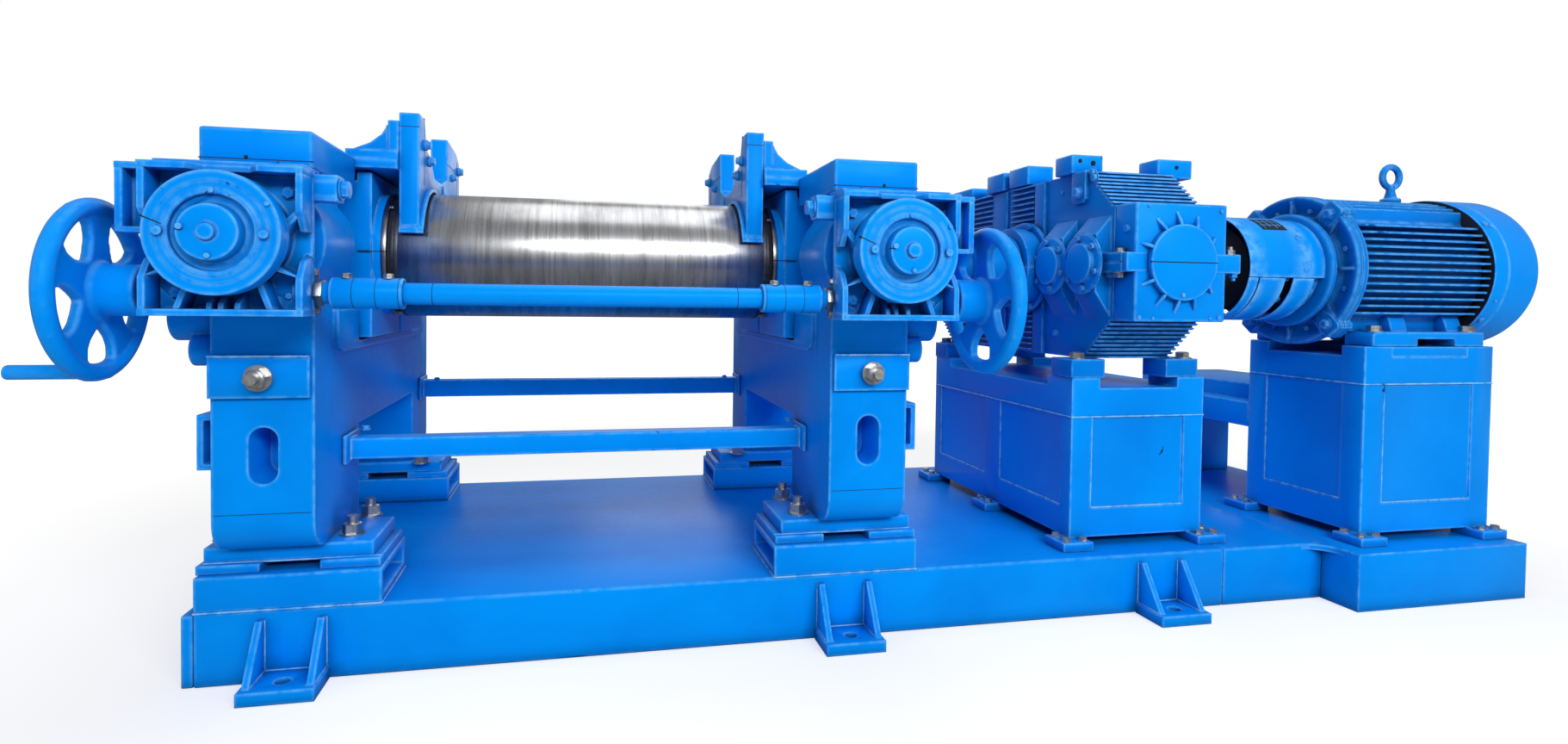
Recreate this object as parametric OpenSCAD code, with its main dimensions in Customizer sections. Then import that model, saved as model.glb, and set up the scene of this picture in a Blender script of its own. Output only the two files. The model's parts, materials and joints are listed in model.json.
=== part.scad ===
// Open mixing mill: two rolls in a pair of stands, a screw-adjusted front roll,
// a reducer and a motor, all on one welded bed.
// Millimetres. +X runs from the rolls to the motor, -Y is the operator's side, +Z is up.
// The origin is on the floor under the middle of the bed.

/* [Bed] */
// height of the deck above the floor
deck_h = 196; // [140:2:260]
// length of the wide end under the motor
block_len = 729; // [690:1:900]
// how far the wide end stands out on each side
block_step = 138; // [60:2:200]
// distance from the reducer to the joint between the two lengths of bed
seam_gap = 105; // [40:1:250]
// thickness of the plate that closes the mill end
end_plate_t = 30; // [10:1:50]
// deck beyond the motor stand
motor_margin = 19; // [10:1:60]

/* [Anchor feet] */
// width of a foot along the bed
foot_w = 182; // [120:2:260]
// how far a foot stands out from the bed
foot_reach = 128; // [100:2:200]
// thickness of a foot plate
foot_t = 34; // [16:1:45]
// thickness of a foot's gussets
foot_rib_t = 18; // [8:1:30]
// diameter of the anchor bolt holes
foot_hole_d = 38; // [20:1:50]
// distance from the mill end to the first foot
foot_1 = 235; // [150:5:400]
// distance from the first foot to the second
foot_2 = 1535; // [1200:5:1800]
// distance from the second foot to the third
foot_3 = 1115; // [900:5:1300]

/* [Mill stands] */
// length of neck between a roll's face and the side frame
neck_len = 110; // [100:1:160]
// thickness of a side frame
frame_w = 242; // [180:1:300]
// depth of the pillars beside the window
pillar_d = 205; // [150:1:260]
// depth of the front legs
front_leg_d = 423; // [340:1:480]
// depth of the rear legs
rear_leg_d = 298; // [240:1:400]
// radius of the rounded toe of a leg
toe_r = 90; // [50:1:120]
// depth of the beam between window and arch
beam_h = 317; // [250:1:380]
// height of the pillars above the roll axis
pillar_h = 182; // [175:1:240]
// height of the cap blocks
cap_h = 94; // [60:1:140]
// how far a cap overhangs the pillar's front
cap_over = 52; // [20:1:80]
// length of a cap from front to back
cap_len = 388; // [320:1:430]
// height of the slot in a front leg
slot_h = 146; // [100:1:180]
// width of the slot in a front leg
slot_w = 68; // [40:1:90]

/* [Stand feet] */
// height of a riser box on the deck
riser_h = 93; // [60:1:140]
// wall of a riser box
riser_t = 18; // [10:1:24]
// depth of a riser box
riser_d = 299; // [260:1:340]
// length of a riser box
riser_len = 456; // [420:1:500]
// riser box beyond the outer face of the side frame
riser_over = 65; // [30:1:100]
// how far a leg stands out in front of its riser
leg_proud = 55; // [20:1:80]
// height of the shims on a riser
shim_h = 24; // [10:1:40]
// length of one shim
shim_len = 152; // [100:1:190]
// thickness of the sole plate under a leg
sole_t = 42; // [20:1:60]
// length of a sole plate
sole_len = 419; // [380:1:440]

/* [Rolls] */
// diameter of a roll
roll_d = 400; // [350:5:450]
// length of a roll's working face
roll_len = 1173; // [1000:1:1400]
// height of the roll axes
roll_z = 1162; // [1100:1:1250]
// gap between the closed rolls
nip = 6; // [5:0.5:20]
// how far the front roll backs off
nip_travel = 10; // [5:1:16]
// diameter of the roll necks
neck_d = 220; // [160:2:240]
// clearance between moving pieces
clear = 6; // [5:0.5:8]
// clearance of a shaft in its bore
run_fit = 0.05; // [0.02:0.01:0.1]
// gap under the sliding bearings
seat_gap = 0.3; // [0.1:0.1:0.5]
// size of a bearing housing from front to back
bearing_d = 380; // [360:2:390]
// half the height of a bearing housing
bearing_h = 213; // [200:1:230]
// thickness of a bearing's inner flange
flange_t = 42; // [25:1:50]

/* [Stock guides] */
// thickness of a guide plate
guide_t = 58; // [30:1:80]
// distance from a roll's end to the outer face of its guide
guide_inset = 18; // [10:1:60]
// height of a guide's peak above the roll axis
guide_h = 423; // [380:1:480]
// gap between a guide and the rolls
guide_gap = 16; // [16:1:30]
// thickness of the bracket that holds a guide
bracket_t = 32; // [20:1:50]
// reach of a bracket's foot over the bridge
bracket_reach = 148; // [100:1:180]

/* [Nip adjustment] */
// diameter of the adjusting screws
screw_d = 120; // [80:2:150]
// room for the screw between pillar and bearing
screw_room = 170; // [140:1:220]
// diameter of the cast boss round the screw
boss_d = 330; // [280:2:340]
// distance from the screw down to the cross shaft
worm_drop = 129; // [110:1:140]
// width of a worm gearbox
gearbox_w = 336; // [300:2:380]
// depth of a worm gearbox
gearbox_d = 160; // [140:1:200]
// height of the gearbox above the screw
gearbox_up = 160; // [150:1:175]
// height of the gearbox below the cross shaft
gearbox_down = 56; // [45:1:80]
// diameter of the round front cover
cover_d = 282; // [240:2:300]
// diameter of the cross shaft
shaft_d = 54; // [40:1:70]
// diameter of the shaft couplings
sleeve_d = 76; // [74:1:100]
// length of a shaft coupling
sleeve_len = 164; // [100:1:200]
// outside diameter of a handwheel
wheel_d = 420; // [350:2:460]
// diameter of a handwheel's rim
rim_d = 42; // [30:1:50]
// distance from gearbox to the plane of the handwheel
wheel_gap = 125; // [100:1:160]
// gap between gearbox and handwheel hub
hub_gap = 24; // [6:1:40]
// length of the crank handle
crank_len = 160; // [110:1:190]

/* [Reducer] */
// distance from the right side frame to the reducer
drive_len = 751; // [650:1:850]
// width of the housing
red_w = 336; // [300:2:420]
// half the height of the housing
red_half_h = 325; // [290:1:340]
// height of its shafts above the floor
drive_z = 1164; // [1150:1:1220]
// length of the flat top
red_top_len = 1013; // [900:1:1100]
// Y of the front end of the flat top
red_front = -553; // [-600:1:-500]
// how far the sloping ends run out
red_nose = 147; // [110:1:180]
// half the height of the upright end faces
red_face = 190; // [160:1:210]
// depth of the box on the front end
front_box_d = 103; // [70:1:140]
// diameter of the round cover on the front box
front_cover_d = 244; // [200:2:300]
// how far the output bosses stand out
boss_reach = 105; // [70:1:130]
// radius of the output bosses
out_r = 150; // [120:1:160]
// how far the bearing bulges stand out
bulge_reach = 57; // [40:1:70]
// radius of the bearing covers' flanges
bulge_r = 100; // [80:1:110]
// top of the reducer stand
red_stand_top = 739; // [700:1:770]
// depth of the reducer stand
red_stand_d = 1066; // [1000:1:1150]
// width of the reducer stand
red_stand_w = 522; // [480:1:560]

/* [Motor] */
// distance from the reducer to the motor's end shield
drive_gap = 551; // [480:1:600]
// length of the coupling guard
guard_len = 334; // [240:1:400]
// diameter of the coupling guard
guard_d = 380; // [340:2:380]
// radius of the end shield
shield_r = 278; // [260:1:290]
// radius of the fan cowl
cowl_r = 284; // [278:1:320]
// length of the fan cowl
cowl_len = 210; // [150:1:240]
// radius over the fins
fin_r = 272; // [260:1:276]
// height of the fins
fin_h = 34; // [20:1:45]
// thickness of a fin
fin_t = 7; // [4:1:10]
// distance from one fin to the next
fin_pitch = 26; // [20:1:34]
// length of the finned frame
motor_len = 561; // [500:1:620]
// distance from the motor axis to the bed's middle
motor_off = 487; // [460:1:520]
// width of the motor stand
motor_stand_w = 575; // [540:1:600]
// depth of the motor stand
motor_stand_d = 495; // [460:1:540]
// top of the motor stand
motor_stand_top = 854; // [820:1:870]

/* [Hidden] */
paint = [0.04, 0.42, 0.86];
deep = [0.03, 0.32, 0.70];
steel = [0.62, 0.63, 0.65];
roll_r = roll_d / 2;
roll_y = roll_r + nip / 2;
frame_in = roll_len / 2 + neck_len;
frame_out = frame_in + frame_w;
side_mid = frame_in + frame_w / 2;
window_half = roll_y + bearing_d / 2 + screw_room;
frame_half = window_half + pillar_d;
window_z = roll_z - bearing_h;
pillar_top = roll_z + pillar_h;
cap_top = pillar_top + cap_h;
arch_z = window_z - beam_h;
riser_top = deck_h + riser_h;
shim_top = riser_top + shim_h;
sole_top = shim_top + sole_t;
riser_out = frame_out + riser_over;
half_d = frame_half - leg_proud;
// from the end shield's face to the motor stand
motor_lead = 97;
bed_len = riser_out + frame_out + drive_len + red_w + drive_gap + motor_lead + motor_stand_w + motor_margin;
half_l = bed_len / 2;
mill_x = riser_out - half_l;
red_x = mill_x + frame_out + drive_len;
red_mid = red_x + red_w / 2;
motor_x = red_x + red_w + drive_gap;
block_x = half_l - block_len;
seam_x = red_x + red_w + seam_gap;
// feet under the stands and packers on them
pad_t = 30;
pad_half = 56;
packer_h = 36;
// faces of the screw's boss, the gearbox and its covers, counted forward
boss_front = frame_half + 60;
gearbox_back = boss_front + 22;
gearbox_front = gearbox_back + gearbox_d;
gearbox_in = side_mid - gearbox_w / 2;
shaft_y = -gearbox_back - 63;
shaft_z = roll_z - worm_drop;
gearbox_side = side_mid + gearbox_w / 2;
wheel_x = gearbox_side + wheel_gap;
crank_boss = 26;
crank_y = shaft_y + 10;
crank_z = shaft_z - (wheel_d - rim_d) / 2;
red_back = red_front + red_top_len;
box_face = red_front - red_nose - front_box_d;
red_stand_y = (red_front + red_back) / 2 - 20;
motor_y = -motor_off;
motor_foot_z = motor_stand_top + packer_h;
shield_t = 69;
motor_start = motor_x + shield_t;
motor_end = motor_start + motor_len;
stand_mid = red_mid + 16;
// beam behind the motor stand
shelf_z = 529;
shelf_end = 520;
// over the reducer's feet
foot_span = 498;
// the two bearing bulges on the mill side
bulge_y = [-620, -432];
bulge_half = 62;

// box between two corners
module box(x, y, z) translate([x[0], y[0], z[0]]) cube([x[1] - x[0], y[1] - y[0], z[1] - z[0]]);
// cylinders along X, Y and Z; the last three values place them
module rod_x(r, x, y, z) translate([x[0], y, z]) rotate([0, 90, 0])
    cylinder(r = r, h = x[1] - x[0], $fn = 72);
module rod_y(r, x, y, z) translate([x, y[1], z]) rotate([90, 0, 0])
    cylinder(r = r, h = y[1] - y[0], $fn = 72);
module rod_z(r, x, y, z) translate([x, y, z[0]]) cylinder(r = r, h = z[1] - z[0], $fn = 72);
// at the right stand X counts outward from the mill's middle; the left stand is its mirror image
module right_side() translate([mill_x, 0, 0]) children();
module left_side() translate([mill_x, 0, 0]) mirror([1, 0, 0]) children();
module both_sides() {
    right_side() children();
    left_side() children();
}
module front_and_back() {
    children();
    mirror([0, 1, 0]) children();
}
// profiles drawn as [y, z] and pulled along X, or drawn as [x, z] and pulled along Y
module slab_x(x) translate([x[0], 0, 0]) rotate([90, 0, 90]) linear_extrude(x[1] - x[0]) children();
module slab_y(y) translate([0, y[1], 0]) rotate([90, 0, 0]) linear_extrude(y[1] - y[0]) children();
// the part of something on one side of a height
far = 5000;
module above(z) intersection() {
    children();
    box([-far, far], [-far, far], [z, far]);
}
module below(z) intersection() {
    children();
    box([-far, far], [-far, far], [-far, z]);
}

// ---- bed ----
module bed_frame() color(paint) box([-half_l, seam_x], [-half_d, half_d], [0, deck_h]);
module bed_extension() color(paint) box([seam_x, block_x], [-half_d, half_d], [0, deck_h]);
module bed_motor_block() color(paint) {
    box([block_x, half_l], [-half_d - block_step, half_d + block_step], [0, deck_h]);
    // curved lip where the deck widens
    front_and_back() difference() {
        box([block_x - 90, block_x], [-half_d - 90, -half_d], [deck_h - 20, deck_h]);
        rod_z(90, block_x - 90, -half_d - 90, [0, deck_h + 1]);
    }
}
module bed_end_plate() color(paint)
    box([-half_l - end_plate_t, -half_l], [-half_d + 3, half_d - 3], [0, deck_h - 5]);
module anchor_feet() color(paint) front_and_back()
    for (x = [foot_1, foot_1 + foot_2, foot_1 + foot_2 + foot_3]) translate([x - half_l, -half_d, 0]) {
        difference() {
            box([-foot_w / 2, foot_w / 2], [-foot_reach, 0], [0, foot_t]);
            rod_z(foot_hole_d / 2, 0, -foot_reach * 0.55, [-1, foot_t + 1]);
        }
        for (s = [-1, 1]) translate([s * (foot_w / 2 - 16) - foot_rib_t / 2, 0, 0]) slab_x([0, foot_rib_t])
            polygon([[0, foot_t], [20 - foot_reach, foot_t], [-18, deck_h - 24], [0, deck_h - 24]]);
    }

// ---- stand feet ----
module stand_risers() color(paint) both_sides() front_and_back() difference() {
    box([riser_out - riser_len, riser_out], [-half_d, -half_d + riser_d], [deck_h, riser_top]);
    box([0, 2 * riser_out], [-half_d + riser_t, -half_d + riser_d - riser_t],
        [deck_h + riser_t, riser_top - riser_t]);
}
module stand_shims() color(deep) both_sides() front_and_back()
    for (x = [riser_out - riser_len + 8, riser_out - shim_len + 3])
        box([x, x + shim_len], [-half_d + 22, -half_d + riser_d - 6], [riser_top, shim_top]);
module leg_soles() color(paint) both_sides() front_and_back()
    box([riser_out - 8 - sole_len, riser_out - 8], [-half_d + 41, -half_d + riser_d - 6],
        [shim_top, sole_top]);

// ---- side frames ----
module leg_profile(depth) {
    translate([-frame_half + toe_r, sole_top]) square([depth - toe_r, arch_z - sole_top]);
    translate([-frame_half, sole_top + toe_r]) square([toe_r, arch_z - sole_top - toe_r]);
    intersection() {
        translate([-frame_half + toe_r, sole_top + toe_r]) circle(toe_r, $fn = 72);
        translate([-frame_half, sole_top]) square(toe_r);
    }
}
module frame_profile() {
    leg_profile(front_leg_d);
    mirror([1, 0]) leg_profile(rear_leg_d);
    translate([-frame_half, arch_z]) square([2 * frame_half, window_z - arch_z]);
    for (s = [0, 1]) mirror([s, 0])
        translate([-frame_half, window_z]) square([pillar_d, pillar_top - window_z]);
}
// strip below the window with an ear at each end, on the inner face
module strip_profile() {
    low = window_z - 81;
    ear = window_z + 39;
    out = window_half + 54;
    in = roll_y + bearing_d / 2 + nip_travel + clear;
    polygon([[-out, ear], [-out, low + 37], [-out + 17, low + 12], [-out + 57, low], [out - 57, low],
             [out - 17, low + 12], [out, low + 37], [out, ear], [in, ear], [in, low + 25],
             [-in, low + 25], [-in, ear]]);
}
module side_frame() difference() {
    union() {
        slab_x([frame_in, frame_out]) frame_profile();
        slab_x([frame_in - 16, frame_in]) strip_profile();
        rod_y(boss_d / 2, side_mid, [-boss_front, -window_half], roll_z);
    }
    rod_y(screw_d / 2 + clear, side_mid, [-boss_front - 1, -window_half + 1], roll_z);
    // slot into the hollow of the leg
    slot_mid = (sole_top + arch_z) / 2 + 120;
    slot_y = [-frame_half - 1, -frame_half + 150];
    flat = (slot_h - slot_w) / 2;
    for (s = [-1, 1]) rod_y(slot_w / 2, side_mid, slot_y, slot_mid + s * flat);
    box([side_mid - slot_w / 2, side_mid + slot_w / 2], slot_y, [slot_mid - flat, slot_mid + flat]);
}
module side_frame_left() color(paint) left_side() side_frame();
module side_frame_right() color(paint) right_side() side_frame();
module stop_blocks() color(paint) both_sides() translate([0, -frame_half, (window_z + arch_z) / 2 + 26]) {
    box([frame_in + 8, frame_out + 1], [-16, 0], [-53, 53]);
    rod_y(26, side_mid, [-32, -16], 0);
}
module frame_caps() color(paint) both_sides() front_and_back()
    box([frame_in - 12, frame_out + 2], [-frame_half - cap_over, -frame_half - cap_over + cap_len],
        [pillar_top, cap_top]);
module tie_bar(y, z, h) color(paint) translate([mill_x, y, z]) {
    box([-frame_in + 12, frame_in - 12], [-32, 32], [0, h]);
    for (s = [0, 1]) mirror([s, 0, 0]) box([frame_in - 12, frame_in], [-75, 75], [-8, h + 14]);
}
module front_tie_bar() tie_bar(-frame_half + front_leg_d - 110, arch_z - 87, 62);
module rear_tie_bar() tie_bar(frame_half - 115, arch_z - 38, 72);
module side_brackets() color(paint) both_sides() {
    rod_x(62, [frame_out, frame_out + 110], -frame_half + 92, window_z + 18);
    rod_x(42, [frame_out, frame_out + 58], -frame_half + 62, window_z - 66);
    channel_brackets();
}
module channel_brackets() for (y = [-frame_half + 68, frame_half - 158])
    translate([frame_out, y, arch_z + 8]) difference() {
        box([0, 60], [0, 90], [-73, 73]);
        box([-1, 44], [-1, 91], [-57, 57]);
    }

// ---- bearings and rolls ----
module bearing_pair(y, lift) both_sides() difference() {
    flange_out = frame_in - clear;
    flange_in = flange_out - flange_t;
    ends = [y - bearing_d / 2, y + bearing_d / 2];
    union() {
        box([flange_out, frame_out + 8], ends, [window_z + lift, roll_z + bearing_h]);
        box([flange_in, flange_out], ends, [roll_z - 262, roll_z + 240]);
        rod_x(roll_r - 4, [flange_in - 34, flange_in], y, roll_z);
        rod_x(150, [frame_out + 8, frame_out + 40], y, roll_z);
    }
    rod_x(neck_d / 2 + run_fit, [frame_in - 200, frame_out + 60], y, roll_z);
}
module front_bearings() color(paint) bearing_pair(-roll_y, seat_gap);
module rear_bearings() color(paint) bearing_pair(roll_y, 0);
module rear_thrust_blocks() color(paint) both_sides()
    box([side_mid - 90, side_mid + 90], [roll_y + bearing_d / 2, window_half], [window_z, roll_z + 110]);
module adjusting_screws() color(steel) both_sides()
    rod_y(screw_d / 2, side_mid, [-frame_half + 30, -roll_y - bearing_d / 2], roll_z);
module roll_at(y) color(steel) translate([mill_x, 0, 0]) {
    rod_x(roll_r, [-roll_len / 2, roll_len / 2], y, roll_z);
    rod_x(roll_r - 14, [-roll_len / 2 - 20, roll_len / 2 + 20], y, roll_z);
    rod_x(neck_d / 2, [-frame_out - 70, frame_out + 80], y, roll_z);
}
module front_roll() roll_at(-roll_y);
module rear_roll() roll_at(roll_y);
module drive_train(y) color(deep) {
    x0 = mill_x + frame_out + 80;
    x1 = red_x - boss_reach - clear;
    rod_x(125, [x0, x0 + 170], y, roll_z);
    rod_x(60, [x0 + 170, x1 - 170], y, roll_z);
    rod_x(125, [x1 - 170, x1], y, roll_z);
}
module front_drive_shaft() drive_train(-roll_y);
module rear_drive_shaft() drive_train(roll_y);

// ---- stock guides ----
// front and rear posts joined by a lower plate that follows both rolls
guide_y = roll_y + 205;
module guide_profile() difference() {
    foot = roll_z + 60;
    top = roll_z + guide_h;
    waist = roll_z + roll_r + 62;
    polygon([[-guide_y, foot], [guide_y, foot], [guide_y, top - 25], [guide_y - 78, top + 5],
             [guide_y - 288, top + 20], [guide_y - 298, waist + 30], [0, waist], [-guide_y + 265, waist],
             [-guide_y + 185, waist + 60], [-guide_y + 125, top - 90], [-guide_y + 85, top],
             [-guide_y, top]]);
    for (s = [-1, 1]) translate([s * roll_y, roll_z]) circle(roll_r + guide_gap, $fn = 96);
    translate([-roll_y, roll_z]) square([2 * roll_y, roll_r + guide_gap]);
}
guide_out = roll_len / 2 - guide_inset;
module stock_guides() color(paint) both_sides()
    slab_x([guide_out - guide_t, guide_out]) guide_profile();
// bridge from cap to cap that carries a bracket with a foot and a gusset at each end
module guide_bridges() color(paint) both_sides() {
    cap_in = frame_half + cap_over - cap_len;
    foot_top = cap_top + 29;
    bracket_top = roll_z + guide_h - 25;
    box([guide_out, frame_out - 40], [-cap_in, cap_in], [cap_top - 28, cap_top]);
    front_and_back() {
        box([guide_out, guide_out + bracket_t], [-guide_y, -guide_y + 110], [cap_top, bracket_top]);
        box([guide_out, guide_out + bracket_reach], [-guide_y - 14, -guide_y + 110], [cap_top, foot_top]);
        slab_y([-guide_y + 6, -guide_y + 34]) polygon([
            [guide_out, foot_top], [guide_out + bracket_reach - 12, foot_top],
            [guide_out + bracket_t + 52, foot_top + 24], [guide_out + bracket_t + 20, foot_top + 50],
            [guide_out + bracket_t, bracket_top - 12], [guide_out, bracket_top - 12]]);
    }
}

// ---- nip adjustment ----
module nip_gearboxes() color(paint) both_sides() difference() {
    lug_y = [-gearbox_back - 80, -gearbox_back - 20];
    union() {
        box([gearbox_in, gearbox_side], [-gearbox_front, -gearbox_back],
            [shaft_z - gearbox_down, roll_z + gearbox_up]);
        box([side_mid - boss_d / 2, side_mid + boss_d / 2], [-gearbox_back, -boss_front],
            [shaft_z, roll_z + gearbox_up - 20]);
        // a long lug on the outer side, a short one towards the rolls
        box([gearbox_side - 1, gearbox_side + 82], lug_y, [roll_z + 4, roll_z + gearbox_up + 6]);
        box([gearbox_in - 52, gearbox_in + 1], lug_y, [roll_z + 90, roll_z + 154]);
    }
    // corner pockets behind the round cover
    for (sx = [-1, 1], sz = [-1, 1])
        translate([side_mid + sx * 152, -gearbox_front, sz > 0 ? roll_z + 144 : shaft_z - 40])
            rotate([90, 0, 0]) translate([0, 0, -22]) linear_extrude(23)
                polygon([[0, 0], [-sx * 96, 0], [-sx * 24, -sz * 66], [0, -sz * 96]]);
    rod_x(shaft_d / 2 + run_fit, [0, gearbox_side + 1], shaft_y, shaft_z);
}
module gearbox_covers() color(paint) both_sides() {
    difference() {
        rod_y(cover_d / 2, side_mid, [-gearbox_front - 48, -gearbox_front], roll_z);
        rod_y(84, side_mid, [-gearbox_front - 49, -gearbox_front - 36], roll_z);
    }
    rod_y(60, side_mid, [-gearbox_front - 70, -gearbox_front - 36], roll_z);
    rod_y(18, side_mid, [-gearbox_front - 82, -gearbox_front - 70], roll_z);
}
module handwheel() {
    translate([wheel_x, shaft_y, shaft_z]) rotate([0, 90, 0]) {
        rotate_extrude($fn = 96) translate([(wheel_d - rim_d) / 2, 0]) circle(rim_d / 2, $fn = 40);
        for (i = [0 : 4]) rotate(i * 72 + 18)
            translate([0, -26, -12]) cube([(wheel_d - rim_d) / 2, 52, 24]);
    }
    rod_x(60, [gearbox_side + hub_gap, wheel_x + 18], shaft_y, shaft_z);
}
module handwheel_left() color(paint) left_side() {
    handwheel();
    // boss for the crank handle
    rod_x(20, [wheel_x, wheel_x + crank_boss], crank_y, crank_z);
}
module handwheel_right() color(paint) right_side() handwheel();
module crank_handle() color(paint) left_side()
    rod_x(17, [wheel_x + crank_boss, wheel_x + crank_boss + crank_len], crank_y, crank_z);
module cross_shaft() color(paint) translate([mill_x, 0, 0])
    rod_x(shaft_d / 2, [-gearbox_side - hub_gap, gearbox_side + hub_gap], shaft_y, shaft_z);
module shaft_couplings() color(paint) both_sides() difference() {
    rod_x(sleeve_d / 2, [gearbox_in - 35 - sleeve_len, gearbox_in - 35], shaft_y, shaft_z);
    rod_x(shaft_d / 2, [0, side_mid], shaft_y, shaft_z);
}

// ---- reducer ----
// the same thing again, turned half round about an upright axis
module half_turn(s, x, y) translate([x, y, 0]) rotate(180 * s) translate([-x, -y, 0]) children();
module pad(x, y) box([x - pad_half, x + pad_half], [y - pad_half, y + pad_half], [deck_h, deck_h + pad_t]);
module reducer_stand() color(paint) {
    x = [stand_mid - red_stand_w / 2, stand_mid + red_stand_w / 2];
    y = [red_stand_y - red_stand_d / 2, red_stand_y + red_stand_d / 2];
    z = [deck_h + pad_t, red_stand_top];
    panel_z = [z[0] + 100, z[1] - 100];
    difference() {
        box(x, y, z);
        // recessed panels: one on each end, two on each side
        for (s = [0, 1]) half_turn(s, stand_mid, red_stand_y) {
            box([x[0] + 80, x[1] - 80], [y[0] - 1, y[0] + 5], panel_z);
            for (c = [-1, 1]) translate([0, red_stand_y + c * red_stand_d / 4, 0])
                box([x[0] - 1, x[0] + 5], [60 - red_stand_d / 4, red_stand_d / 4 - 60], panel_z);
        }
    }
    for (px = x, py = [y[0], red_stand_y, y[1]]) pad(px, py);
    for (px = [x[0], x[1] - 108], py = [y[0], y[1] - 150])
        box([px, px + 108], [py, py + 150], [red_stand_top, red_stand_top + packer_h]);
}
// eight-sided profile whose sloping ends carry cooling fins
module reducer_profile() {
    fins = 9;
    difference() {
        polygon([[red_front - red_nose, drive_z - red_face], [red_front - red_nose, drive_z + red_face],
                 [red_front, drive_z + red_half_h], [red_back, drive_z + red_half_h],
                 [red_back + red_nose, drive_z + red_face], [red_back + red_nose, drive_z - red_face],
                 [red_back, drive_z - red_half_h], [red_front, drive_z - red_half_h]]);
        for (end = [red_front, red_back], s = [-1, 1], i = [0 : fins - 1]) {
            t = (i + 0.7) / fins;
            out = end == red_front ? -1 : 1;
            drop = (red_half_h - red_face) * t;
            translate([end + out * red_nose * t, drive_z + s * (red_half_h - drop)])
                square([30, 7], center = true);
        }
    }
}
// housing with its output bosses, the bulges round the other bearings and the end flange
module reducer_body() {
    slab_x([red_x, red_x + red_w]) reducer_profile();
    // bosses and bulges run into the housing by the length of their root
    root = 20;
    for (y = [-roll_y, roll_y]) rod_x(out_r, [red_x - boss_reach, red_x + root], y, drive_z);
    bulge_x = red_x - bulge_reach;
    for (y = bulge_y) slab_y([y - bulge_half, y + bulge_half])
        polygon([[red_x + root, drive_z - 178], [red_x, drive_z - 178], [bulge_x, drive_z - 95],
                 [bulge_x, drive_z + 95], [red_x, drive_z + 158], [red_x + root, drive_z + 158]]);
    box([red_x - 36, red_x + red_w + 58], [box_face + 20, red_front - red_nose + 40],
        [drive_z - 32, drive_z + 32]);
}
module reducer_lower() color(paint) {
    below(drive_z) reducer_body();
    for (px = [red_mid - foot_span / 2, red_mid + foot_span / 2 - 128], py = [-1, 1])
        translate([px, red_stand_y + py * (red_stand_d / 2 - 60), 0])
            box([0, 128], [-60, 60], [red_stand_top + packer_h, drive_z - red_half_h]);
}
module reducer_upper() color(paint) above(drive_z) reducer_body();
module front_box() color(paint) {
    difference() {
        box([red_x, red_x + red_w], [box_face, red_front - red_nose],
            [drive_z - red_face, drive_z + red_face]);
        // room for the flange of the housing
        box([red_x - 1, red_x + red_w + 1], [box_face + 20, red_front], [drive_z - 32, drive_z + 32]);
    }
}
module reducer_covers() color(paint) {
    rod_y(front_cover_d / 2, red_mid - 6, [box_face - 24, box_face], drive_z);
    rod_x(110, [red_x + red_w, red_x + red_w + 24], motor_y, drive_z);
    cover_x = red_x - bulge_reach - 12;
    for (y = bulge_y) {
        difference() {
            rod_x(bulge_r, [cover_x, red_x - bulge_reach], y, drive_z);
            // cut back from the output boss beside it
            rod_x(out_r + 1, [cover_x - 1, red_x], -roll_y, drive_z);
        }
        rod_x(67, [cover_x - 14, cover_x], y, drive_z);
    }
}
// blocks along the top: two at the front, the others along the mill side
module lifting_blocks() color(paint) translate([0, 0, drive_z + red_half_h]) {
    box([red_x - 21, red_x + 103], [red_front + 67, red_front + 171], [0, 68]);
    box([red_x + red_w - 8, red_x + red_w + 136], [red_front + 67, red_front + 171], [0, 68]);
    for (y = [-200, -20]) box([red_x - 21, red_x + 90], [y, y + 140], [0, 74]);
    box([red_x - 21, red_x + red_w + 21], [red_back - 210, red_back - 20], [0, 46]);
}
// shaft and coupling between the reducer and the motor
module input_shaft() color(steel) {
    rod_x(45, [red_x + red_w + 24, motor_x], motor_y, drive_z);
    rod_x(130, [motor_x - guard_len + 30, motor_x - guard_len + 190], motor_y, drive_z);
}

// ---- motor ----
module motor_stand() color(paint) {
    x = [motor_x + motor_lead, motor_x + motor_lead + motor_stand_w];
    y = [motor_y - motor_stand_d / 2, motor_y + motor_stand_d / 2];
    z = [deck_h + pad_t, motor_stand_top];
    panel_z = [z[0] + 106, z[1] - 100];
    difference() {
        box(x, y, z);
        for (s = [0, 1]) half_turn(s, (x[0] + x[1]) / 2, motor_y) {
            box([x[0] + 90, x[1] - 90], [y[0] - 1, y[0] + 5], panel_z);
            box([x[0] - 1, x[0] + 5], [y[0] + 85, y[1] - 85], panel_z);
        }
    }
    for (px = [x[0], x[1] - pad_half + motor_margin - 2], py = y) pad(px, py);
    for (px = [x[0], x[1] - 120], py = [y[0], y[1] - 90])
        box([px, px + 120], [py, py + 90], [motor_stand_top, motor_foot_z]);
}
// beam along Y behind the stand, carried by a leg, with a raised kerb under it
module motor_shelf() color(paint) {
    x = motor_x + motor_lead;
    y = [motor_y + motor_stand_d / 2, shelf_end];
    box([x, half_l - motor_margin], y, [shelf_z, shelf_z + 102]);
    box([x + 60, half_l - motor_margin - 60], [y[0], y[1] - 40], [shelf_z + 102, shelf_z + 172]);
    box([x + 40, half_l - motor_margin - 40], [y[1] - 90, y[1]], [deck_h, shelf_z]);
}
core_r = fin_r - fin_h;
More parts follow.
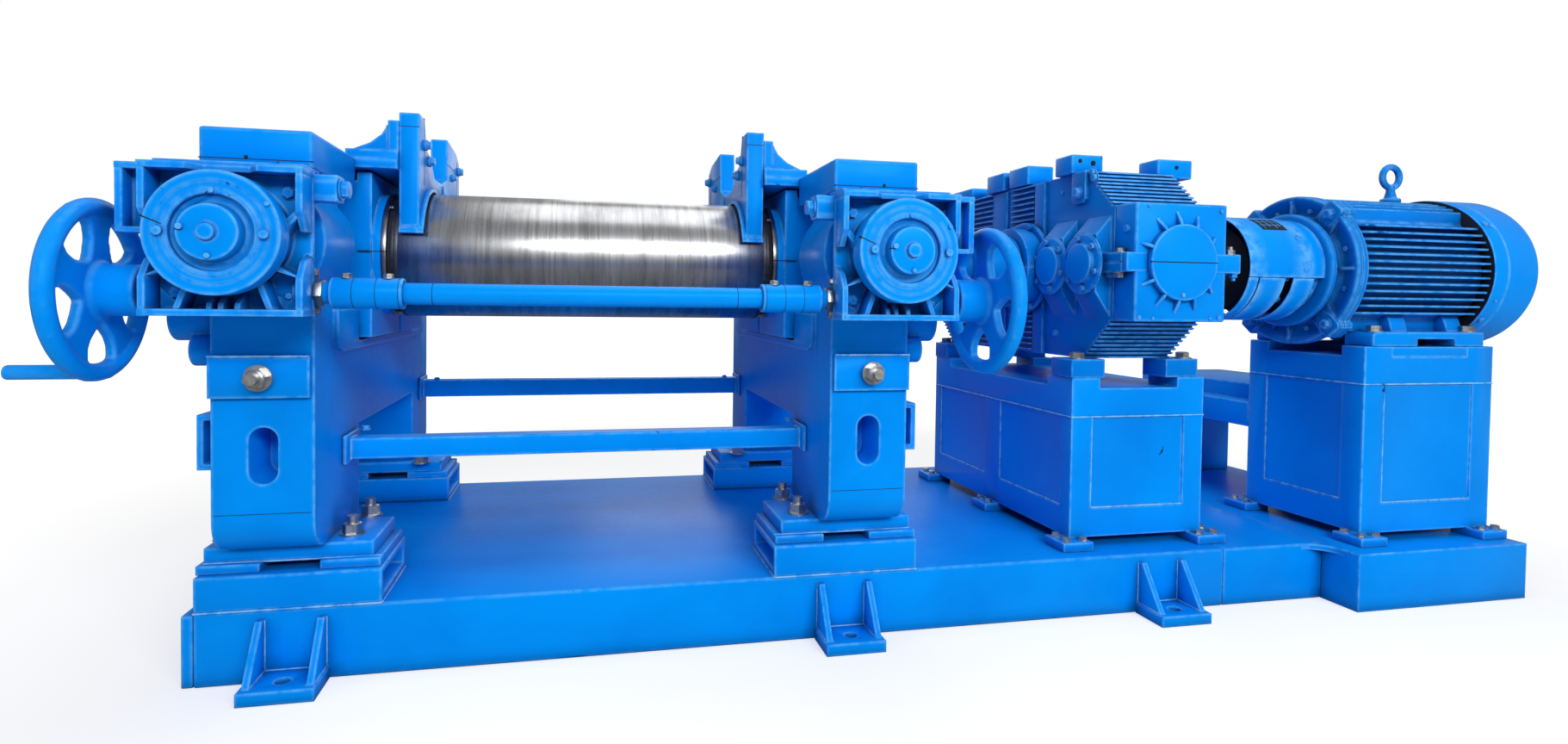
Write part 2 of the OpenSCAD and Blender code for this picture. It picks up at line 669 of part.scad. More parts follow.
// level fins on both sides, upright ones above and below
module fin_profile() intersection() {
    circle(fin_r, $fn = 96);
    union() {
        circle(core_r - 20, $fn = 96);
        for (i = [-6 : 6]) {
            translate([0, i * fin_pitch]) square([2 * fin_r, fin_t], center = true);
            translate([i * fin_pitch, 0]) square([fin_t, 2 * fin_r], center = true);
        }
    }
}
module motor_frame() color(deep) {
    lifting_eye();
    rod_x(core_r, [motor_start, motor_end], motor_y, drive_z);
    translate([0, motor_y, drive_z]) slab_x([motor_start + 36, motor_end - 8]) fin_profile();
    // feet with two webs on each side
    foot_x = [motor_x + 128, motor_end];
    foot_top = motor_foot_z + 52;
    for (s = [0, 1]) translate([0, motor_y, 0]) mirror([0, s, 0]) {
        difference() {
            box(foot_x, [-249, -139], [motor_foot_z, foot_top]);
            box([foot_x[0] + 197, foot_x[0] + 361], [-250, -138], [motor_foot_z - 1, motor_foot_z + 26]);
        }
        for (x = [foot_x[0] + 131, foot_x[0] + 383]) slab_x([x, x + 73])
            polygon([[-205, foot_top], [-100, foot_top], [-100, drive_z - 200], [-190, drive_z - 120]]);
    }
}
module end_shield() color(paint) {
    rod_x(shield_r, [motor_x + 14, motor_start], motor_y, drive_z);
    rod_x(205, [motor_x, motor_x + 14], motor_y, drive_z);
    // lugs for the bolts into the frame
    for (a = [40, 140, 220, 320]) translate([motor_x + 20, motor_y, drive_z]) rotate([a, 0, 0])
        box([0, shield_t - 26], [-38, 38], [shield_r - 30, shield_r + 22]);
}
module fan_cowl() color(paint) rod_x(cowl_r, [motor_end, motor_end + cowl_len], motor_y, drive_z);
module lifting_eye() translate([motor_x + 505, motor_y, drive_z + fin_r]) {
    rod_z(30, 0, 0, [-30, 30]);
    rod_z(14, 0, 0, [30, 66]);
    translate([0, 0, 100]) rotate([90, 0, 0]) rotate_extrude($fn = 60)
        translate([40, 0]) circle(12, $fn = 24);
}
module coupling_guard() color(paint) difference() {
    rod_x(guard_d / 2, [motor_x - guard_len, motor_x], motor_y, drive_z);
    rod_x(guard_d / 2 - 6, [motor_x - guard_len - 1, motor_x + 1], motor_y, drive_z);
}

bed_frame();
bed_extension();
bed_motor_block();
bed_end_plate();
anchor_feet();
stand_risers();
stand_shims();
leg_soles();
side_frame_left();
side_frame_right();
stop_blocks();
frame_caps();
front_tie_bar();
rear_tie_bar();
side_brackets();
front_bearings();
rear_bearings();
rear_thrust_blocks();
adjusting_screws();
front_roll();
rear_roll();
front_drive_shaft();
rear_drive_shaft();
stock_guides();
guide_bridges();
nip_gearboxes();
gearbox_covers();
handwheel_left();
handwheel_right();
crank_handle();
cross_shaft();
shaft_couplings();
reducer_stand();
reducer_lower();
reducer_upper();
front_box();
reducer_covers();
lifting_blocks();
input_shaft();
motor_stand();
motor_shelf();
motor_frame();
end_shield();
fan_cowl();
coupling_guard();
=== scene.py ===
import bpy
import bmesh
import json
import math
from mathutils import Matrix, Vector


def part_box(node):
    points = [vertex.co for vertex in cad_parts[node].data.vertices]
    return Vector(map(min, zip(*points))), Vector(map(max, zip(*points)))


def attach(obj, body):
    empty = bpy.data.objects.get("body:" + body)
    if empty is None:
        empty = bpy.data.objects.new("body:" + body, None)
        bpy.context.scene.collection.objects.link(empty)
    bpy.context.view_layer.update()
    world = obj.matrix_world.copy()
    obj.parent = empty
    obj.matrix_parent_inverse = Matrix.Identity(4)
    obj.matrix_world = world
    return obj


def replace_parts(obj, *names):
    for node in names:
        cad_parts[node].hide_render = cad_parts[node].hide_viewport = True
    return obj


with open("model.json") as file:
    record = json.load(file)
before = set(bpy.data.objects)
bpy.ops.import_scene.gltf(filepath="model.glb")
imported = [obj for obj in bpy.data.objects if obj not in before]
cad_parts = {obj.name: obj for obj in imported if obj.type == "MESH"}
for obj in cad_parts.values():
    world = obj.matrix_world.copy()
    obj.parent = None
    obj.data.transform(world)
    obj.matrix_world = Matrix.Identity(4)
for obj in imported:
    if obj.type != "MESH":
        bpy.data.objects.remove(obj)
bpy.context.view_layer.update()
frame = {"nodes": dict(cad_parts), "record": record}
scene = bpy.context.scene
bodyOf = {n: b for b, group in frame["record"]["behaviour"]["bodies"].items() for n in group}
mm = 0.001

# nodes, colours and meshes


def linear(hexColour):  # sRGB hex to a linear colour
    parts = [int(hexColour[i:i + 2], 16) / 255 for i in (1, 3, 5)]
    return [p / 12.92 if p <= 0.04045 else ((p + 0.055) / 1.055) ** 2.4 for p in parts] + [1]


# a link comes from a socket, or from a node's first live output
def setNode(tree, node, settings=None, links=None):
    for key, value in (settings or {}).items():
        if isinstance(key, str) and hasattr(node, key):
            setattr(node, key, value)
        else:
            node.inputs[key].default_value = value
    for key, source in (links or {}).items():
        if isinstance(source, bpy.types.Node):
            source = next(o for o in source.outputs if o.enabled)
        tree.links.new(source, node.inputs[key])
    return node


def addNode(tree, kind, settings=None, links=None):
    return setNode(tree, tree.nodes.new(kind), settings, links)


def smoothed(mesh, degrees=35):
    mesh.polygons.foreach_set("use_smooth", [True] * len(mesh.polygons))
    mesh.set_sharp_from_angle(angle=math.radians(degrees))


def flatten(obj):  # live modifiers become a plain mesh
    evaluated = obj.evaluated_get(bpy.context.evaluated_depsgraph_get())
    mesh = bpy.data.meshes.new_from_object(evaluated)
    obj.modifiers.clear()
    obj.data = mesh


def toObject(name, mesh, *mats):
    mesh.materials.clear()
    for mat in mats:
        mesh.materials.append(mat)
    obj = bpy.data.objects.new(name, mesh)
    scene.collection.objects.link(obj)
    return obj


def roundEdges(obj, width, segments=2):
    m = obj.modifiers.new("edges", "BEVEL")
    m.width, m.segments, m.limit_method, m.angle_limit = width, segments, "ANGLE", math.radians(35)
    flatten(obj)
    smoothed(obj.data, 40)


# solids in millimetres, each a list of points and a list of faces


def block(x, y, z):
    points = [(a, b, c) for c in z for b in y for a in x]
    return points, [(0, 2, 3, 1), (4, 5, 7, 6), (0, 1, 5, 4), (2, 6, 7, 3), (0, 4, 6, 2), (1, 3, 7, 5)]


def prism(axis, outline, near, far):  # outline in the other two axes, in their order
    place = {
        "x": lambda a, b, t: (t, a, b),
        "y": lambda a, b, t: (a, t, b),
        "z": lambda a, b, t: (a, b, t)}[axis]
    count = len(outline)
    points = [place(a, b, t) for t in (near, far) for a, b in outline]
    sides = [(i, (i + 1) % count, (i + 1) % count + count, i + count) for i in range(count)]
    return points, [tuple(range(count)), tuple(range(2 * count - 1, count - 1, -1))] + sides


def lathe(axis, centre, profile, steps=72):  # profile of (radius, place along the axis)
    turn = {
        "x": lambda c, s, t: (t, centre[0] + c, centre[1] + s),
        "y": lambda c, s, t: (centre[0] + c, t, centre[1] + s),
        "z": lambda c, s, t: (centre[0] + c, centre[1] + s, t)}[axis]
    points, faces = [], []
    for radius, along in profile:
        for i in range(steps):
            a = 2 * math.pi * i / steps
            points.append(turn(radius * math.cos(a), radius * math.sin(a), along))
    for k in range(len(profile) - 1):
        for i in range(steps):
            j = (i + 1) % steps
            faces.append((k * steps + i, k * steps + j, (k + 1) * steps + j, (k + 1) * steps + i))
    return points, faces


def rod(axis, centre, radius, near, far, steps=48):
    return lathe(axis, centre, [(0, near), (radius, near), (radius, far), (0, far)], steps)


def tube(axis, centre, inner, outer, near, far, steps=72):
    return lathe(axis, centre, [(inner, near), (outer, near), (outer, far), (inner, far), (inner, near)], steps)


def moved(shape, change):
    return [change(*p) for p in shape[0]], shape[1]


def built(name, mat, body, shapes, edge=3.0, segments=2, degrees=35):
    bm = bmesh.new()
    for points, faces in shapes:
        made = [bm.verts.new(Vector(p) * mm) for p in points]
        own = [bm.faces.new([made[i] for i in face]) for face in faces]
        bmesh.ops.remove_doubles(bm, verts=made, dist=1e-6)
        bmesh.ops.recalc_face_normals(bm, faces=[f for f in own if f.is_valid])
    mesh = bpy.data.meshes.new(name)
    bm.to_mesh(mesh)
    bm.free()
    obj = toObject(name, mesh, mat)
    if edge:
        roundEdges(obj, edge * mm, segments)
    else:
        smoothed(obj.data, degrees)
    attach(obj, body)
    return obj


# screws and beads by geometry nodes


def newTree(name, sockets):  # a tree with named inputs; returns the tree, its input node and its output node
    tree = bpy.data.node_groups.new(name, "GeometryNodeTree")
    tree.interface.new_socket("Geometry", in_out="OUTPUT", socket_type="NodeSocketGeometry")
    tree.interface.new_socket("Geometry", in_out="INPUT", socket_type="NodeSocketGeometry")
    for label, kind in sockets.items():
        tree.interface.new_socket(label, in_out="INPUT", socket_type="NodeSocket" + kind)
    return tree, tree.nodes.new("NodeGroupInput"), tree.nodes.new("NodeGroupOutput")


def grown(name, tree, mesh, values, mat, body, degrees=35):  # runs a tree on a mesh of points or lines
    obj = toObject(name, mesh)
    m = obj.modifiers.new("grow", "NODES")
    m.node_group = tree
    for item in tree.interface.items_tree:
        if item.in_out == "INPUT" and item.name in values:
            m[item.identifier] = values[item.name]
        if item.in_out == "INPUT" and item.socket_type == "NodeSocketMaterial":
            m[item.identifier] = mat
    flatten(obj)
    smoothed(obj.data, degrees)
    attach(obj, body)
    return obj


def screwTree():  # a head, its crown, washer and stud on each point, sized for a thread of one
    tree, given, out = newTree("screws", {
        "Sides": "Int", "Corners": "Float", "Head height": "Float", "Crown": "Float", "Washer radius": "Float",
        "Washer height": "Float", "Stud length": "Float", "Seed": "Int", "Finish": "Material"})
    g = given.outputs
    half, inner, crownTop = (
        addNode(tree, "ShaderNodeMath", {"operation": "MULTIPLY", 1: share}, {0: g["Corners"]})
        for share in (0.5, 0.425, 0.36))
    top = addNode(tree, "ShaderNodeMath", {"operation": "ADD"}, {0: g["Head height"], 1: g["Washer height"]})
    parts = [  # shape, settings, links, how much of its depth lies below its own origin, and what it stands on
        ("Cylinder", None, {"Vertices": g["Sides"], "Radius": half, "Depth": g["Head height"]}, 0.5,
            {2: g["Washer height"]}),
        ("Cone", {"Vertices": 24}, {"Radius Bottom": inner, "Radius Top": crownTop, "Depth": g["Crown"]}, 0.0,
            {2: top}),
        ("Cylinder", {"Vertices": 28}, {"Radius": g["Washer radius"], "Depth": g["Washer height"]}, 0.5, {}),
        ("Cylinder", {"Vertices": 20, "Radius": 0.47}, {"Depth": g["Stud length"]}, 0.5, {2: top}),
    ]
    whole = addNode(tree, "GeometryNodeJoinGeometry")
    for kind, settings, links, share, base in parts:
        part = addNode(tree, "GeometryNodeMesh" + kind, settings, links)
        lift = addNode(tree, "ShaderNodeMath", {"operation": "MULTIPLY_ADD", 1: share, 2: 0.0},
            {0: links["Depth"], **base})
        at = addNode(tree, "ShaderNodeCombineXYZ", None, {"Z": lift})
        placed = addNode(tree, "GeometryNodeTransform", None, {"Geometry": part, "Translation": at})
        setNode(tree, whole, None, {0: placed})
    axis = addNode(tree, "GeometryNodeInputNamedAttribute", {"data_type": "FLOAT_VECTOR", "Name": "axis"})
    size = addNode(tree, "GeometryNodeInputNamedAttribute", {"data_type": "FLOAT", "Name": "size"})
    aim = addNode(tree, "FunctionNodeAlignRotationToVector", {"axis": "Z"}, {"Vector": axis})
    spin = addNode(tree, "FunctionNodeRandomValue", {"data_type": "FLOAT", 3: 6.28}, {"Seed": g["Seed"]})
    spinBy = addNode(tree, "FunctionNodeAxisAngleToRotation", {"Axis": (0, 0, 1)}, {"Angle": spin})
    turned = addNode(tree, "FunctionNodeRotateRotation", {"rotation_space": "LOCAL"},
        {"Rotation": aim, "Rotate By": spinBy})
    placed = addNode(tree, "GeometryNodeInstanceOnPoints", None, {
        "Points": g["Geometry"], "Instance": whole, "Rotation": turned, "Scale": size})
    real = addNode(tree, "GeometryNodeRealizeInstances", None, {"Geometry": placed})
    dressed = addNode(tree, "GeometryNodeSetMaterial", None, {"Geometry": real, "Material": g["Finish"]})
    setNode(tree, out, None, {0: dressed})
    return tree


def beadTree():  # a rippled bead along lines
    tree, given, out = newTree("beads", {
        "Bead radius": "Float", "Step": "Float", "Ripple": "Float", "Seed": "Int", "Finish": "Material"})
    g = given.outputs
    line = addNode(tree, "GeometryNodeMeshToCurve", None, {"Mesh": g["Geometry"]})
    fine = addNode(tree, "GeometryNodeResampleCurve", {"mode": "LENGTH"}, {"Curve": line, "Length": g["Step"]})
    low = addNode(tree, "ShaderNodeMath", {"operation": "SUBTRACT", 0: 1.0}, {1: g["Ripple"]})
    high = addNode(tree, "ShaderNodeMath", {"operation": "ADD", 0: 1.0}, {1: g["Ripple"]})
    vary = addNode(tree, "FunctionNodeRandomValue", {"data_type": "FLOAT"},
        {2: low, 3: high, "Seed": g["Seed"]})
    radius = addNode(tree, "ShaderNodeMath", {"operation": "MULTIPLY"}, {0: vary, 1: g["Bead radius"]})
    ring = addNode(tree, "GeometryNodeCurvePrimitiveCircle", {"Resolution": 7, "Radius": 1.0})
    body = addNode(tree, "GeometryNodeCurveToMesh", {"Fill Caps": True},
        {"Curve": fine, "Profile Curve": ring, "Scale": radius})
    real = addNode(tree, "GeometryNodeRealizeInstances", None, {"Geometry": body})
    dressed = addNode(tree, "GeometryNodeSetMaterial", None, {"Geometry": real, "Material": g["Finish"]})
    setNode(tree, out, None, {0: dressed})
    return tree


def pointCloud(name, rows):  # rows of (place, axis, thread) in millimetres
    mesh = bpy.data.meshes.new(name)
    mesh.from_pydata([Vector(place) * mm for place, axis, thread in rows], [], [])
    mesh.attributes.new("axis", "FLOAT_VECTOR", "POINT")
    mesh.attributes.new("size", "FLOAT", "POINT")
    for i, (place, axis, thread) in enumerate(rows):
        mesh.attributes["axis"].data[i].vector = axis
        mesh.attributes["size"].data[i].value = thread * mm
    return mesh


def lineMesh(name, lines):  # lines are lists of points in millimetres
    points, links = [], []
    for line in lines:
        start = len(points)
        points += [Vector(p) * mm for p in line]
        links += [(start + i, start + i + 1) for i in range(len(line) - 1)]
    mesh = bpy.data.meshes.new(name)
    mesh.from_pydata(points, links, [])
    return mesh


screws, beads = screwTree(), beadTree()
styles = {  # in thread diameters
    "bolt": {"Sides": 6, "Corners": 1.8, "Head height": 0.66, "Crown": 0.07, "Washer radius": 1.12,
        "Washer height": 0.16, "Stud length": 0.0},
    "nut": {"Sides": 6, "Corners": 1.8, "Head height": 0.85, "Crown": 0.07, "Washer radius": 1.12,
        "Washer height": 0.16, "Stud length": 0.75},
    "socket": {"Sides": 28, "Corners": 1.5, "Head height": 0.9, "Crown": 0.06, "Washer radius": 0.8,
        "Washer height": 0.05, "Stud length": 0.0},
    "plug": {"Sides": 28, "Corners": 1.6, "Head height": 0.3, "Crown": 0.2, "Washer radius": 0.9,
        "Washer height": 0.08, "Stud length": 0.0},
}


def addScrews(name, style, mat, body, rows, seed=3):
    return grown(name, screws, pointCloud(name, rows), dict(styles[style], Seed=seed), mat, body, 30)


def addBeads(name, mat, body, lines, radius=3.5, seed=5, ripple=0.16):
    values = {"Bead radius": radius * mm, "Step": 0.009, "Ripple": ripple, "Seed": seed}
    return grown(name, beads, lineMesh(name, lines), values, mat, body, 70)


# finishes


def newMaterial(name):  # the material, its tree, its shader and the place on the piece
    mat = bpy.data.materials.new(name)
    mat.use_nodes = True
    t = mat.node_tree
    return mat, t, t.nodes["Principled BSDF"], addNode(t, "ShaderNodeTexCoord").outputs["Object"]


# sprayed gloss enamel on cast and welded iron: a painted highlight pales its edges, and it is chipped to a dark
# primer
def enamel(name, main, cloudy, edgeHighlightColour, gloss=0.3, chips=0.7):
    mat, t, shader, place = newMaterial(name)
    cloud = addNode(t, "ShaderNodeTexNoise", {"Scale": 2.4, "Detail": 4.0, "Roughness": 0.55},
        {"Vector": place})
    cloudStep = addNode(t, "ShaderNodeMapRange", {"From Min": 0.4, "From Max": 0.68}, {"Value": cloud})
    tint = addNode(t, "ShaderNodeMix", {"data_type": "RGBA", 6: linear(main), 7: linear(cloudy)},
        {0: cloudStep})
    # edges, found where a rounded normal leaves the true one
    rounded = addNode(t, "ShaderNodeBevel", {"samples": 4, "Radius": 0.012})
    true = addNode(t, "ShaderNodeNewGeometry")
    bend = addNode(t, "ShaderNodeVectorMath", {"operation": "DOT_PRODUCT"},
        {0: rounded, 1: true.outputs["Normal"]})
    edge = addNode(t, "ShaderNodeMapRange", {"From Min": 0.992, "From Max": 0.955}, {"Value": bend})
    fleck = addNode(t, "ShaderNodeTexNoise", {"Scale": 30.0, "Detail": 5.0, "Roughness": 0.6},
        {"Vector": place})
    fleckStep = addNode(t, "ShaderNodeMapRange", {"From Min": 0.36, "From Max": 0.56, "To Min": 0.12},
        {"Value": fleck})
    # painted highlight: the edges are lightened towards the pale colour, broken up in flecks
    edgeHighlight = addNode(t, "ShaderNodeMath", {"operation": "MULTIPLY"}, {0: edge, 1: fleckStep})
    thin = addNode(t, "ShaderNodeMix", {"data_type": "RGBA", 7: linear(edgeHighlightColour)}, {0: edgeHighlight, 6: tint})
    # chips, a few millimetres wide, more of them on edges
    chip = addNode(t, "ShaderNodeTexNoise", {"Scale": 9.0, "Detail": 8.0, "Roughness": 0.6, "Distortion": 0.6},
        {"Vector": place})
    likely = addNode(t, "ShaderNodeMath", {"operation": "MULTIPLY_ADD", 1: 0.07}, {0: edge, 2: chip})
    low, high = 0.77 - 0.03 * chips, 0.78 - 0.03 * chips
    chipStep = addNode(t, "ShaderNodeMapRange", {"From Min": low, "From Max": high}, {"Value": likely})
    bare = addNode(t, "ShaderNodeMix", {"data_type": "RGBA", 7: linear("#0A1C36")}, {0: chipStep, 6: thin})
    # painted shade: darker navy in corners and creases, where ambient occlusion finds them
    exposed = addNode(t, "ShaderNodeAmbientOcclusion", {"samples": 4, "Distance": 0.05})
    paintedCornerShade = addNode(t, "ShaderNodeMapRange", {"From Min": 0.3, "From Max": 0.85, "To Min": 0.8, "To Max": 0.0},
        {"Value": exposed.outputs["AO"]})
    shaded = addNode(t, "ShaderNodeMix", {"data_type": "RGBA", 7: linear("#004A8C")}, {0: paintedCornerShade, 6: bare})
    rough = addNode(t, "ShaderNodeMapRange", {"To Min": gloss - 0.05, "To Max": gloss + 0.14}, {"Value": fleck})
    peel = addNode(t, "ShaderNodeTexNoise", {"Scale": 160.0, "Detail": 2.0}, {"Vector": place})
    dent = addNode(t, "ShaderNodeMath", {"operation": "SUBTRACT"}, {0: peel, 1: chipStep})
    bump = addNode(t, "ShaderNodeBump", {"Strength": 0.1, "Distance": 0.001}, {"Height": dent})
    setNode(t, shader, {"Specular IOR Level": 0.25, "Specular Tint": (0.08, 0.55, 1.0, 1)},
        {"Base Color": shaded, "Roughness": rough, "Normal": bump})
    return mat


# turned, plated or blacked steel: fine lines catch the light; grain is the noise's scale along X, Y and Z
def bareMetal(name, light, dark, roughness, grain, bump=0.1, metallic=1.0):
    mat, t, shader, place = newMaterial(name)
    drawn = addNode(t, "ShaderNodeMapping", {"Scale": grain}, {"Vector": place})
    lines = addNode(t, "ShaderNodeTexNoise", {"Scale": 1.0, "Detail": 6.0, "Roughness": 0.7}, {"Vector": drawn})
    spread = addNode(t, "ShaderNodeMapRange", {"From Min": 0.3, "From Max": 0.7}, {"Value": lines})
    colour = addNode(t, "ShaderNodeMix", {"data_type": "RGBA", 6: linear(dark), 7: linear(light)}, {0: spread})
    rough = addNode(t, "ShaderNodeMapRange", {"To Min": roughness - 0.07, "To Max": roughness + 0.1},
        {"Value": lines})
    ridge = addNode(t, "ShaderNodeBump", {"Strength": bump, "Distance": 0.001}, {"Height": lines})
    setNode(t, shader, {"Metallic": metallic}, {"Base Color": colour, "Roughness": rough, "Normal": ridge})
    return mat


def groundIron(name, rollEnds):  # ground roll face: streaks round it, a worn sheen by its ends
    mat = bareMetal(name, "#CDCED0", "#96979A", 0.27, (60, 2.5, 2.5), 0.04)
    t, middle, half = mat.node_tree, sum(rollEnds) / 2, (rollEnds[1] - rollEnds[0]) / 2
    shader, place = t.nodes["Principled BSDF"], t.nodes["Texture Coordinate"].outputs["Object"]
    split = addNode(t, "ShaderNodeSeparateXYZ", None, {0: place})
    off = addNode(t, "ShaderNodeMath", {"operation": "SUBTRACT", 1: middle}, {0: split})
    far = addNode(t, "ShaderNodeMath", {"operation": "ABSOLUTE"}, {0: off})
    ragged = addNode(t, "ShaderNodeTexNoise", {"Scale": 7.0, "Detail": 5.0}, {"Vector": place})
    reach = addNode(t, "ShaderNodeMath", {"operation": "MULTIPLY_ADD", 1: 0.12}, {0: ragged, 2: far})
    ends = addNode(t, "ShaderNodeMapRange", {"From Min": half - 0.03, "From Max": half + 0.05, "To Max": 0.75},
        {"Value": reach})
    base = shader.inputs["Base Color"].links[0].from_socket
    stained = addNode(t, "ShaderNodeMix", {"data_type": "RGBA", 7: linear("#73706E")}, {0: ends, 6: base})
    # soft patches left by stock
    patch = addNode(t, "ShaderNodeMapping", {"Scale": (9, 3.5, 3.5)}, {"Vector": place})
    blot = addNode(t, "ShaderNodeTexNoise", {"Scale": 1.0, "Detail": 7.0, "Roughness": 0.62, "Distortion": 0.4},
        {"Vector": patch})
    blotStep = addNode(t, "ShaderNodeMapRange", {"From Min": 0.45, "From Max": 0.68, "To Max": 0.55},
        {"Value": blot})
    patched = addNode(t, "ShaderNodeMix", {"data_type": "RGBA", 7: linear("#7C7B7D")},
        {0: blotStep, 6: stained})
    setNode(t, shader, None, {"Base Color": patched})
    return mat


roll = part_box("front_roll")
# the fourth colour of each enamel is the painted highlight along its edges
blueEnamel = enamel("blueEnamel", "#0095FB", "#0089EE", "#6ABCFB", chips=1.3)
castEnamel = enamel("blueEnamelCastings", "#0080E2", "#0074CE", "#62B2F5", gloss=0.34)
# painted highlight: the weld beads get a paler blue than the plates, for the highlights along them
weldHighlightEnamel = enamel("blueEnamelWeldsPaintedHighlight", "#2BA2FC", "#1C94F4", "#9AD6FF", gloss=0.24, chips=0)
groundRoll = groundIron("groundRollIron", (roll[0][0] + 0.422, roll[1][0] - 0.432))
turnedSteel = bareMetal("turnedSteel", "#A9ABAF", "#77797E", 0.28, (200, 12, 12))
zincSteel = bareMetal("zincPlatedSteel", "#D3D2CE", "#A3A29F", 0.34, (70, 70, 70))
darkSteel = bareMetal("blackedSteel", "#5A5E66", "#33363C", 0.42, (60, 60, 60), metallic=0.85)
# painted shade: a near-black finish stands for the shade in gaps, seams, slots, openings and inside the guard
shadow = bareMetal("paintedShadeNearBlack", "#0B1426", "#05090F", 0.75, (40, 40, 40), metallic=0.0)

# anchors from the solids, in millimetres


def span(node):
    low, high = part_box(node)
    return [v / mm for v in low], [v / mm for v in high]


def midOf(box, axis):
    return (box[0][axis] + box[1][axis]) / 2


bar, frameBox, rollBox = span("front_tie_bar"), span("side_frame_right"), span("front_roll")
capBox, shaftBox = span("frame_caps"), span("cross_shaft")
millX = midOf(bar, 0)  # middle of the rolls
rollY, rollZ = midOf(rollBox, 1), midOf(rollBox, 2)
rollR = (rollBox[1][2] - rollBox[0][2]) / 2
frameIn, frameOut = bar[1][0] - millX, capBox[1][0] - millX - 2
frameHalf = frameBox[1][1]
sideMid = (frameIn + frameOut) / 2
shaftY, shaftZ = midOf(shaftBox, 1), midOf(shaftBox, 2)
upward, downward, forward, leftward, rightward = (0, 0, 1), (0, 0, -1), (0, -1, 0), (-1, 0, 0), (1, 0, 0)


def bothSides(shapes, sides=(1, -1)):  # X counted outward from the middle of the rolls
    return [moved(s, lambda x, y, z, k=k: (millX + k * x, y, z)) for k in sides for s in shapes]


def facing(axis, rows):  # screws that point one way, from rows of x, y, z and thread
    return [((x, y, z), axis, d) for x, y, z, d in rows]


def screwsBoth(rows):
    return [((millX + k * x, y, z), (k * a, b, c), d) for k in (1, -1) for (x, y, z), (a, b, c), d in rows]


def linesBoth(lines):
    return [[(millX + k * x, y, z) for x, y, z in line] for k in (1, -1) for line in lines]


# plates, castings and bars: the solids with their edges rounded as cast or cut

softened = {  # rounding in millimetres and finish
    "bed_frame": (6, blueEnamel), "bed_extension": (6, blueEnamel), "bed_motor_block": (8, blueEnamel),
    "bed_end_plate": (5, blueEnamel), "anchor_feet": (4, blueEnamel), "stand_risers": (4, blueEnamel),
    "stand_shims": (2, blueEnamel), "leg_soles": (4, blueEnamel), "side_frame_left": (9, blueEnamel),
    "side_frame_right": (9, blueEnamel), "stop_blocks": (5, blueEnamel), "frame_caps": (7, blueEnamel),
    "front_tie_bar": (5, blueEnamel), "rear_tie_bar": (5, blueEnamel), "side_brackets": (4, blueEnamel),
    "front_bearings": (5, blueEnamel), "rear_bearings": (5, blueEnamel), "rear_thrust_blocks": (4, blueEnamel),
    "adjusting_screws": (4, darkSteel), "front_roll": (4, groundRoll), "rear_roll": (4, groundRoll),
    "front_drive_shaft": (6, castEnamel), "rear_drive_shaft": (6, castEnamel), "stock_guides": (7, blueEnamel),
    "guide_bridges": (4, blueEnamel), "crank_handle": (5, blueEnamel), "cross_shaft": (2, blueEnamel),
    "shaft_couplings": (3, blueEnamel), "reducer_stand": (5, blueEnamel), "reducer_lower": (5, castEnamel),
    "reducer_upper": (5, castEnamel), "front_box": (6, blueEnamel), "reducer_covers": (3, blueEnamel),
    "lifting_blocks": (5, blueEnamel), "input_shaft": (3, darkSteel), "motor_stand": (5, blueEnamel),
    "motor_shelf": (5, blueEnamel),
}


def soften(node, width, mat):
    mesh = frame["nodes"][node].data.copy()
    bm = bmesh.new()
    bm.from_mesh(mesh)
    bmesh.ops.remove_doubles(bm, verts=bm.verts, dist=2e-5)
    bmesh.ops.dissolve_limit(bm, angle_limit=math.radians(1), verts=bm.verts, edges=bm.edges)
    bm.to_mesh(mesh)
    bm.free()
    obj = toObject(node + "Edged", mesh, mat)
    roundEdges(obj, width * mm)
    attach(obj, bodyOf[node])
    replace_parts(obj, node)


for node, (width, mat) in softened.items():
    soften(node, width, mat)
print("solids edged:", len(softened))

# nip-adjust gearboxes: cast boxes with raised rims round a drum


def wrapped(circles, steps=48):  # outline round circles of (a, b, radius)
    outline = []
    for i in range(steps):
        c, s = math.cos(2 * math.pi * i / steps), math.sin(2 * math.pi * i / steps)
        a, b, r = max(circles, key=lambda k: k[0] * c + k[1] * s + k[2])
        outline.append((a + r * c, b + r * s))
    return outline


drums = (millX - sideMid, millX + sideMid)  # middles of the left and the right gearbox


def atGearboxes(shapes):  # X and Z from the middle of each drum, the same way round on both
    return [moved(s, lambda x, y, z, at=at: (at + x, y, rollZ + z)) for at in drums for s in shapes]


def screwsAtGearboxes(rows):
    return [((at + x, y, rollZ + z), forward, d) for at in drums for x, y, z, d in rows]


nipBox = {"wide": 168, "low": -185, "high": 160, "wall": 16, "floor": -938, "face": -1010, "drum": 125}


